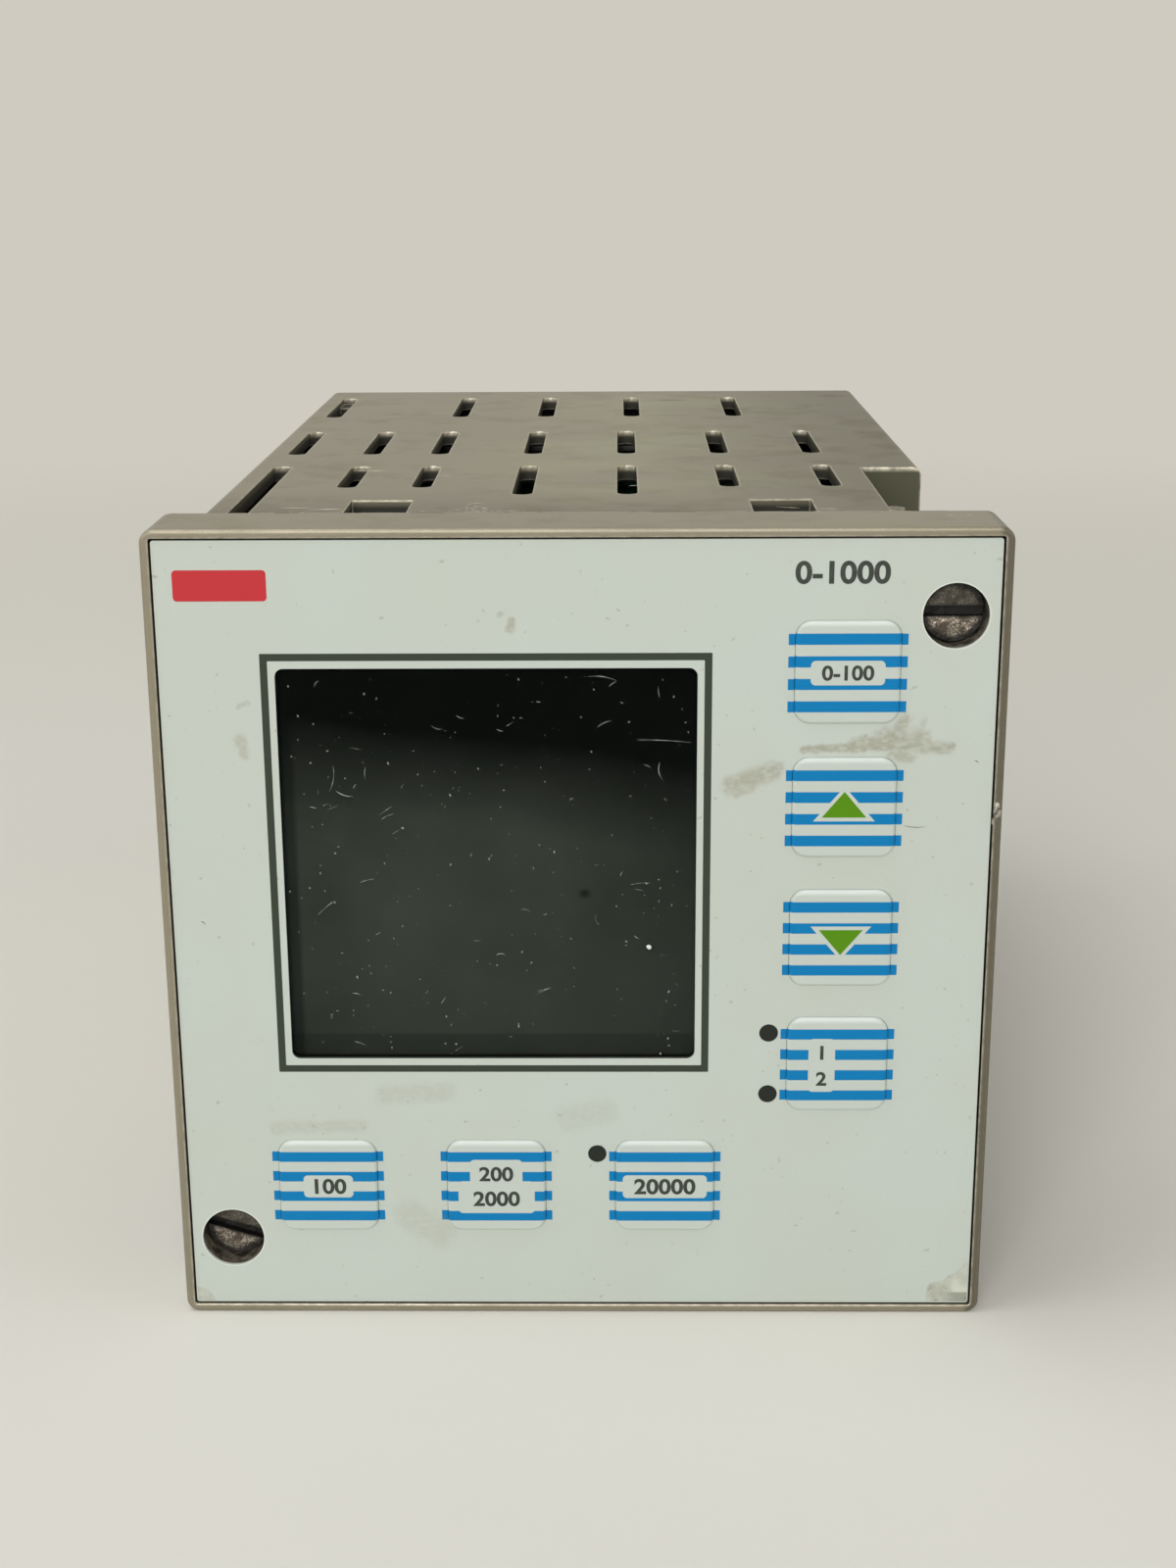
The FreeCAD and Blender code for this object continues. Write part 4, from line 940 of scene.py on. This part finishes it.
def solder_mask():
    material, tree, vector, (x, y, z) = placed_material("solder_mask")
    flat = add(tree, "ShaderNodeCombineXYZ", {0: plus(x, y), 1: z})
    links = {"Vector": flat, "Scale": 1.0, "Mortar Size": 0.2}
    links |= {"Brick Width": 11.0, "Row Height": 1.27}
    cells = add(tree, "ShaderNodeTexBrick", links)
    bundle = ramp(noise(vector, 10.0, 1.0), 0.44, 0.46, 0.0, 0.6)
    lines = times(cells.outputs["Fac"], bundle)
    colour = blend(lines, "#1c5232", "#3a8350")
    surface(tree, Base_Color=colour, Roughness=0.3, Coat_Weight=0.4)
    return material


def plain_metal(name, code, rough):
    """Bare or plated metal with fine tarnish."""
    return two_tones(name, code, "#5d574c", 2.5, 0.4, 0.75, 4.0, 0.4, Metallic=1.0, Roughness=rough)


paint(solder_mask(), "main_board", "io_board", "power_board", "keypad_board", "backplane_board")
# For each moulding: its name, its colour, its grain and the nodes made of it.
MOULDINGS = [
    ("black_glass_filled_polyamide", "#1b1b1c", (0.55,), "rear_panel option_cover board_spacer"),
    (
        "grey_green_polyamide",
        "#59665d",
        (0.45,),
        "terminal_block_left terminal_block_middle terminal_block_mains",
    ),
    ("light_grey_polyester", "#b5b5a8", (0.45,), "backplane_sockets board_headers"),
    ("cellular_rubber", "#161616", (0.85, 0.8), "panel_gasket"),
    ("white_acrylic", "#dadbd6", (0.3,), "display_backlight"),
    ("lamp_resin", "#b8442f", (0.25,), "indicator_leds"),
    ("black_epoxy", "#161617", (0.5, 0.15), "main_board_chips"),
    ("blue_polybutylene", "#23456f", (0.35,), "output_relays"),
    ("winding_tape", "#b58b2c", (0.45,), "transformer_winding"),
    ("shrink_sleeve", "#20243a", (0.35,), "smoothing_capacitors"),
]
for name, code, grain, nodes in MOULDINGS:
    paint(plain_moulding(name, code, *grain), *nodes.split())
# For each metal: its name, its colour, its roughness and the nodes made of it.
METALS = [
    ("zinc_plated_steel", "#b4b5b3", 0.35, "terminal_screws rear_panel_screws option_cover_screws"),
    ("turned_brass", "#b8924a", 0.3, "screw_inserts earth_screw"),
    (
        "tinned_steel",
        "#a9aaa6",
        0.4,
        "display_frame key_domes retaining_ring_upper retaining_ring_lower",
    ),
    ("varnished_laminations", "#4b463f", 0.55, "transformer_core"),
]
for name, code, rough, nodes in METALS:
    paint(plain_metal(name, code, rough), *nodes.split())
print(len(MOULDINGS), "mouldings and", len(METALS), "metals")

# %% [markdown]
# ## One way to run a Geometry Nodes tree
# What repeats is made by Geometry Nodes. A tree gets named inputs for its sizes, and its
# last nodes turn instances into real faces and set the material. The helper below puts the
# tree on a throwaway object, sets the inputs, and keeps the result as a plain mesh.

# %% Helpers for Geometry Nodes


def new_tree(name, **inputs):
    """A tree with a geometry input, a geometry output and the given sizes as inputs."""
    tree = bpy.data.node_groups.new(name, "GeometryNodeTree")
    for label, kind in {"Geometry": "Geometry", **inputs}.items():
        tree.interface.new_socket(label, in_out="INPUT", socket_type="NodeSocket" + kind)
    tree.interface.new_socket("Geometry", in_out="OUTPUT", socket_type="NodeSocketGeometry")
    return tree, add(tree, "NodeGroupInput").outputs


def end_tree(tree, geometry, material):
    """Make instances real and give them their finish."""
    real = add(tree, "GeometryNodeRealizeInstances", {0: geometry})
    dressed = add(tree, "GeometryNodeSetMaterial", {0: real, "Material": material})
    add(tree, "NodeGroupOutput", {0: dressed})


def keep(name, mesh, body):
    """A finished piece that rides on a body."""
    piece = new_object(name, mesh)
    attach(piece, body)
    print(name, "has", len(mesh.polygons), "faces")


def grow(name, source, tree, body, slot, **settings):
    """Run a tree on a mesh, keep the result as a piece and let it ride on a body."""
    holder = new_object(name + "_source", source)
    modifier = holder.modifiers.new("grow", "NODES")
    modifier.node_group = tree
    for item in tree.interface.items_tree:
        if item.in_out == "INPUT" and item.name in settings:
            modifier[item.identifier] = settings[item.name]
    bpy.context.view_layer.update()
    graph = bpy.context.evaluated_depsgraph_get()
    mesh = bpy.data.meshes.new_from_object(holder.evaluated_get(graph))
    bpy.data.objects.remove(holder)
    keep(name, mesh, body)


# %% [markdown]
# ## Scratches and hairs
# A scratch on a clear foil throws up a fine bright line, and a hair is a fine dark one.
# Both follow a path, so each path is a chain of points, and the tree lays a thin round
# wire along it. The wire thins out towards its ends, as a scratch does.

# %% Tree for fine lines


def fine_lines(material):
    tree, sizes = new_tree("fine_lines", Radius="Float")
    path = add(tree, "GeometryNodeMeshToCurve", {0: sizes["Geometry"]})
    links = {"Resolution": 5, "Radius": sizes["Radius"]}
    profile = add(tree, "GeometryNodeCurvePrimitiveCircle", links)
    taper = add(tree, "GeometryNodeInputNamedAttribute", {0: "taper"})
    links = {0: path, 1: profile, "Scale": taper}
    wire = add(tree, "GeometryNodeCurveToMesh", {**links, "Fill Caps": True})
    end_tree(tree, wire.outputs[0], material)
    return tree


TAPER = (0.25, 0.8, 1.0, 0.9, 0.5, 0.2)


def paths(name, lines, plane):
    """A mesh of open chains. Each line has a start, a direction, a length and a bend."""
    points = []
    links = []
    for x, z, angle, length, bend in lines:
        turn = math.radians(angle)
        first = len(points)
        for step in range(len(TAPER)):
            along = step / (len(TAPER) - 1)
            side = bend * 4 * along * (1 - along)
            px = x + length * along * math.cos(turn) - side * math.sin(turn)
            pz = z + length * along * math.sin(turn) + side * math.cos(turn)
            points.append(Vector(plane(px, pz)) * MM)
        links += [(i, i + 1) for i in range(first, len(points) - 1)]
    mesh = bpy.data.meshes.new(name)
    mesh.from_pydata(points, links, [])
    taper = mesh.attributes.new("taper", "FLOAT", "POINT")
    for index in range(len(points)):
        taper.data[index].value = TAPER[index % len(TAPER)]
    return mesh


# %% [markdown]
# The display window gets the most of them: a few long ones where a tool or a ring slipped,
# and many short nicks. The random ones are drawn with a fixed seed.

# %% Scratches on the window
WINDOW_FRONT = front_of("display_window")
NICKS = 70
NICK_REACH = 22
# Each row holds a start (x, z), a direction in degrees, a length and a bend.
LONG_SCRATCHES = [
    (-27.6, 21.0, -100, 3.0, 0.25),
    (-27.4, 18.1, -20, 2.0, -0.2),
    (-23.9, 21.0, -95, 1.6, -0.1),
    (-22.6, 15.2, 35, 1.9, 0.0),
    (-22.3, 14.7, 25, 1.5, 0.1),
    (-21.2, 12.9, 33, 1.3, 0.0),
    (-30.0, 3.2, 40, 2.8, 0.1),
    (-25.1, 7.1, 15, 1.8, 0.05),
    (-4.8, -6.6, 30, 1.7, 0.0),
    (-4.9, -6.3, 12, 1.8, 0.05),
    (6.0, 6.8, 5, 2.2, 0.1),
    (6.4, 6.3, -12, 1.2, 0.0),
    (2.1, 3.3, -80, 1.4, -0.3),
    (1.2, 31.3, -8, 3.2, 0.25),
    (2.3, 25.5, 25, 1.7, 0.15),
    (6.6, 24.0, -3, 6.2, 0.1),
    (9.3, 21.4, -80, 2.2, -0.35),
    (-9.6, -1.8, 0, 1.1, 0.2),
    (-6.6, 3.8, -15, 1.1, 0.15),
    (-14.6, -13.8, 35, 1.2, 0.0),
    (-0.9, 16.9, 20, 0.5, 0.15),
    (-20.0, 18.4, 60, 0.6, 0.0),
]
chance = random.Random(7)
nicks = []
for _ in range(NICKS):
    x = chance.uniform(DISPLAY.x - NICK_REACH, DISPLAY.x + NICK_REACH)
    z = chance.uniform(DISPLAY.z - NICK_REACH, DISPLAY.z + NICK_REACH)
    length = 0.25 + 1.3 * chance.random() ** 3
    nicks.append((x, z, chance.gauss(10, 40), length, chance.uniform(-0.2, 0.2) * length))

scratched = two_tones("scratched_polyester", "#747973", "#e4e8e2", 1.2, 0.4, 0.6, Roughness=0.5)
lines_tree = fine_lines(scratched)


def on_window(x, z):
    return (x, WINDOW_FRONT, z)


WORN_LINES = {"window_scratches": (LONG_SCRATCHES, 0.03), "window_nicks": (nicks, 0.026)}
for name, (lines, radius) in WORN_LINES.items():
    source = paths(name, lines, on_window)
    grow(name, source, lines_tree, "plug_in_unit", "clear_pane", Radius=radius * MM)

# %% [markdown]
# Three hairs lie on the white foil, and the top of the case has bright scores by the window
# where a clamp was pushed home.

# %% Hairs and scores
hair = two_tones("dark_hair", "#3f4239", "#6b6d61", 0.8, 0.3, 0.7, Roughness=0.6)
HAIRS = [(36.9, 13.9, -3, 2.6, -0.18), (44.6, 21.5, -30, 0.6, 0.08), (-43.6, 2.4, -40, 0.7, 0.1)]


def on_foil(x, z):
    return (x, FOIL_FRONT, z)


source = paths("foil_hairs", HAIRS, on_foil)
grow("foil_hairs", source, fine_lines(hair), "plug_in_unit", "printed_foil", Radius=0.045 * MM)

bright = two_tones("bared_coat", "#a89f8b", "#e0dac9", 1.5, 0.4, 0.6, Metallic=0.5, Roughness=0.4)
SCORES = [
    (-31.0, 47.8, 0, 4.4, 0.1),
    (-18.6, 43.0, 8, 1.2, 0.0),
    (-33.0, 16.0, 3, 5.0, 0.2),
    (-36.5, 17.5, -4, 4.0, 0.1),
    (-14.0, 19.5, 30, 2.6, 0.3),
    (14.4, 68.0, 0, 2.4, 0.0),
    (26.6, 16.2, 160, 3.0, 0.2),
    (31.0, 15.4, 170, 2.2, 0.1),
    (6.0, 34.0, 12, 1.6, 0.1),
]


def on_top(x, y):
    return (x, y, HALF_TUBE)


source = paths("case_scores", SCORES, on_top)
grow("case_scores", source, fine_lines(bright), "case", "case_moulding", Radius=0.035 * MM)

# %% [markdown]
# ## Dust
# Dust is a scatter of tiny lumps. The tree throws points on a sheet, puts a flattened
# ball on each and scales it at random. A ball's radius is between a thirtieth and an eighth
# of a millimetre.

# %% Dust


def dust_tree(material):
    tree, sizes = new_tree("dust", Density="Float", Smallest="Float", Largest="Float", Seed="Int")
    links = {"Mesh": sizes["Geometry"], "Density": sizes["Density"], "Seed": sizes["Seed"]}
    points = add(tree, "GeometryNodeDistributePointsOnFaces", links)
    ball = add(tree, "GeometryNodeMeshIcoSphere", {"Radius": 1.0, "Subdivisions": 1})
    chance = add(tree, "FunctionNodeRandomValue", {"Seed": sizes["Seed"]}, data_type="FLOAT")
    cube = add(tree, "ShaderNodeMath", {0: chance.outputs[1], 1: 3.0}, operation="POWER")
    links = {0: cube, 3: sizes["Smallest"], 4: sizes["Largest"]}
    size = add(tree, "ShaderNodeMapRange", links).outputs[0]
    links = {0: (0, 0, 0), 1: (6.2, 6.2, 6.2)}
    whirl = add(tree, "FunctionNodeRandomValue", links, data_type="FLOAT_VECTOR")
    links = {0: add(tree, "ShaderNodeCombineXYZ", {i: size for i in range(3)}).outputs[0]}
    links[1] = (1.5, 0.6, 0.8)
    stretch = add(tree, "ShaderNodeVectorMath", links, operation="MULTIPLY")
    links = {"Points": points, "Instance": ball}
    links |= {"Scale": stretch, "Rotation": whirl}
    grains = add(tree, "GeometryNodeInstanceOnPoints", links)
    end_tree(tree, grains.outputs[0], material)
    return tree


dust_on = dust_tree(two_tones("house_dust", "#7b7f79", "#c6c9c2", 3.0, 0.3, 0.7, Roughness=0.9))
PER_SQUARE_METRE = 1e6
DUST_REACH = 23
window_corners = [
    Vector(on_window(DISPLAY.x + DUST_REACH * side, DISPLAY.z + DUST_REACH * up)) * MM
    for side, up in ((-1, -1), (1, -1), (1, 1), (-1, 1))
]
window_sheet = bpy.data.meshes.new("window_sheet")
window_sheet.from_pydata(window_corners, [], [(0, 1, 2, 3)])
dust_sizes = {"Density": 0.14 * PER_SQUARE_METRE, "Smallest": 0.03 * MM, "Largest": 0.13 * MM}
grow("window_dust", window_sheet, dust_on, "plug_in_unit", "clear_pane", Seed=3, **dust_sizes)

# %% [markdown]
# One crumb on the window is bigger than the rest, and on the right rim a knock has raised
# a burr. Both are small lumps with a rough skin: a ball whose corners are pushed in and out.

# %% Crumb and burr


def lump(name, centre, size, seed, material, body):
    """A rough pebble of the given size in millimetres."""
    shape = bmesh.new()
    bmesh.ops.create_icosphere(shape, subdivisions=3, radius=0.5)
    chance = random.Random(seed)
    waves = [
        (Vector([chance.uniform(-4, 4) for _ in range(3)]), chance.uniform(0, 6))
        for _ in range(5)
    ]
    for vertex in shape.verts:
        swell = sum(math.sin(wave.dot(vertex.co) * 2 + start) for wave, start in waves)
        place = vertex.co * (1 + 0.09 * swell)
        vertex.co = (Vector(centre) + Vector([place[i] * size[i] for i in range(3)])) * MM
    mesh = bpy.data.meshes.new(name)
    shape.to_mesh(mesh)
    shape.free()
    mesh.shade_smooth()
    mesh.materials.append(material)
    keep(name, mesh, body)


crumb_white = two_tones("lime_crumb", "#c8ccc6", "#f2f4f0", 0.2, 0.3, 0.7, Roughness=0.8)
crumb_at = (8.1, WINDOW_FRONT, -0.8)
lump("window_crumb", crumb_at, (0.6, 0.15, 0.5), 4, crumb_white, "plug_in_unit")
burr_finish = two_tones(
    "torn_coat", "#55524a", "#b9b4a4", 0.5, 0.40, 0.60, 4.0, Metallic=0.4, Roughness=0.5
)
BURR_Y = front_of("case_shell") + 0.05
for name, x, z, size, seed in (
    ("rim_burr", 47.4, 15.6, (0.9, 0.35, 2.3), 9),
    ("rim_burr_edge", 47.0, 14.4, (0.35, 0.3, 0.8), 12),
):
    lump(name, (x, BURR_Y, z), size, seed, burr_finish, "case")

# %% [markdown]
# ## The lifted corners of the foil
# At the lower right corner the printed layer has come away and left the clear film, grey
# with old glue. It is a thin sheet with a ragged border, cut out as one outline and raised
# a few hundredths of a millimetre. A smaller patch sits at the lower left.

# %% Lifted corners
CORNER = 46.6
RIGHT_LIFT = [
    (CORNER, -41.4),
    (46.2, -41.5),
    (45.7, -42.1),
    (45.1, -42.8),
    (44.6, -43.0),
    (44.2, -43.3),
    (43.8, -43.7),
    (43.3, -43.9),
    (42.7, -44.0),
    (42.2, -44.2),
    (41.85, -44.6),
    (41.75, -45.4),
    (41.7, -CORNER),
    (44.0, -CORNER + 0.05),
    (CORNER, -CORNER),
    (CORNER, -44.0),
]
LEFT_LIFT = [
    (-CORNER, -44.7),
    (-46.0, -45.0),
    (-45.4, -45.2),
    (-44.9, -45.8),
    (-44.5, -CORNER),
    (-45.6, -CORNER),
    (-CORNER, -CORNER),
]


def film_with_glue():
    material, tree, vector, (x, _, z) = placed_material("clear_film_with_old_glue")
    glue = ramp(noise(vector, 1.6, 3.0), 0.35, 0.65)
    colour = blend(glue, "#c6c9bd", "#b1b3a6")
    ragged = multiply_add(noise(vector, 0.9, 3.0), 0.8, -0.4)
    across = plus(x, ragged)
    strip_edge = ramp(z, -CORNER + 1.35, -CORNER + 1.15)
    low_strip = times(strip_edge, ramp(across, 43.4, 45.0, 0.0, 0.8))
    colour = blend(low_strip, colour, "#94978a")
    bright_patch = times(
        ramp(across, 44.5, 45.0),
        ramp(z, -43.2, -44.9),
        ramp(z, -45.4, -45.2, 0.0, 0.7),
    )
    colour = blend(bright_patch, colour, "#dae0cf")
    specks = ramp(noise(vector, 0.45, 2.0), 0.66, 0.72, 0.0, 0.7)
    colour = blend(specks, colour, "#6f7168")
    creases = noise(vector, 0.8, 3.0, (0.5, 1, 1.5))
    surface(tree, Base_Color=colour, Roughness=0.3, Normal=bump(creases, 0.6, 0.1))
    return material


film = film_with_glue()
LIFTS = {"lifted_corner_right": (RIGHT_LIFT, 0.06), "lifted_corner_left": (LEFT_LIFT, 0.05)}
for name, (outline, thickness) in LIFTS.items():
    lifted = thin_sheet(name, outline, FOIL_FRONT - thickness, FOIL_FRONT + 0.01, film)
    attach(lifted, "plug_in_unit")
print(len(LIFTS), "lifted corners")

# %% [markdown]
# ## Small parts on the boards
# A board carries rows of the same part: resistors, the legs of chips, the gold fingers of
# the edge connector. One tree makes them all: a grid in the plane of the board, a block on
# each point, and a chance that a place stays empty.

# %% Rows of small parts


def rows_tree(name, material):
    inputs = {"Length": "Float", "Height": "Float", "Columns": "Int", "Rows": "Int"}
    inputs |= {"Centre": "Vector", "Part": "Vector", "Filled": "Float", "Seed": "Int"}
    tree, sizes = new_tree(name, **inputs)
    links = {"Size X": sizes["Length"], "Size Y": sizes["Height"]}
    links |= {"Vertices X": sizes["Columns"], "Vertices Y": sizes["Rows"]}
    grid = add(tree, "GeometryNodeMeshGrid", links)
    links = {0: grid, "Translation": sizes["Centre"]}
    links["Rotation"] = (math.pi / 2, 0, math.pi / 2)
    upright = add(tree, "GeometryNodeTransform", links)
    block = add(tree, "GeometryNodeMeshCube", {"Size": sizes["Part"]})
    links = {"Probability": sizes["Filled"], "Seed": sizes["Seed"]}
    there = add(tree, "FunctionNodeRandomValue", links, data_type="BOOLEAN")
    links = {"Points": upright, "Selection": there.outputs[3]}
    parts = add(tree, "GeometryNodeInstanceOnPoints", {**links, "Instance": block})
    end_tree(tree, parts.outputs[0], material)
    return tree


def tinned_ends():
    """Chip resistors: black, with blotches of bright solder laid out by noise."""
    material, tree, vector, _ = placed_material("chip_resistor")
    tone = noise(vector, 1.2, 2.0)
    solder = ramp(tone, 0.50, 0.53)
    colour = blend(solder, "#1c1b1a", "#b9b9b4")
    surface(tree, Base_Color=colour, Metallic=solder, Roughness=0.35)
    return material


BOARD_NODES = ("main_board", "io_board", "power_board")
resistors = rows_tree("resistors", tinned_ends())
fingers = rows_tree("fingers", plain_metal("gold_plating", "#d3a648", 0.22))
legs = rows_tree("legs", plain_metal("solder_tin", "#b7b9b8", 0.3))


def place_rows(name, tree, slot, centre, field, counts, part, filled=1.0, seed=1):
    """Rows of parts. Every size is in millimetres."""
    sizes = {"Length": field[0] * MM, "Height": field[1] * MM, "Filled": filled, "Seed": seed}
    sizes |= {"Columns": counts[0], "Rows": counts[1]}
    sizes |= {"Centre": [value * MM for value in centre], "Part": [value * MM for value in part]}
    grow(name, bpy.data.meshes.new(name), tree, "plug_in_unit", slot, **sizes)


# %% Fingers, resistors and chip legs
# The size of the field, the places in it, the size of a part and the share that is filled.
FINGER_ROW = ((0, 63.5), (1, 26), (0.06, 5.6, 1.5))
FINGER_INSET = 3.2
RESISTOR_FIELD = ((88, 66), (18, 12), (0.55, 2.0, 1.25), 0.4)
for seed, node in enumerate(BOARD_NODES):
    low, high = [Vector(corner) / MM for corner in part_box(node)]
    for side, face in (("left", low.x), ("right", high.x)):
        place = (face, high.y - FINGER_INSET, 0)
        place_rows(f"{node}_fingers_{side}", fingers, "tinned_steel", place, *FINGER_ROW)
    back = (low.x - 0.25, (low.y + high.y) / 2 - 6, 0)
    place_rows(f"{node}_resistors", resistors, "chip_resin", back, *RESISTOR_FIELD, seed)

CHIP_FACE = (Vector(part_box("main_board_chips")[0]) / MM).x
LEG_PITCH = 1.27
LEG = (0.8, 0.5, 1.3)
# Each row holds a chip's first y, its middle z, its length and its width.
CHIPS = [(14, 12, 24, 24), (48, 16, 20, 14), (48, -12, 20, 14)]
for index, (start, height, length, width) in enumerate(CHIPS):
    count = int(length / LEG_PITCH) - 1
    field = ((count - 1) * LEG_PITCH, 0)
    for side, label in ((-1, "low"), (1, "high")):
        place = (CHIP_FACE + 0.4, start + length / 2, height + side * (width / 2 + 0.6))
        name = f"chip_{index}_legs_{label}"
        place_rows(name, legs, "tinned_steel", place, field, (count, 1), LEG)
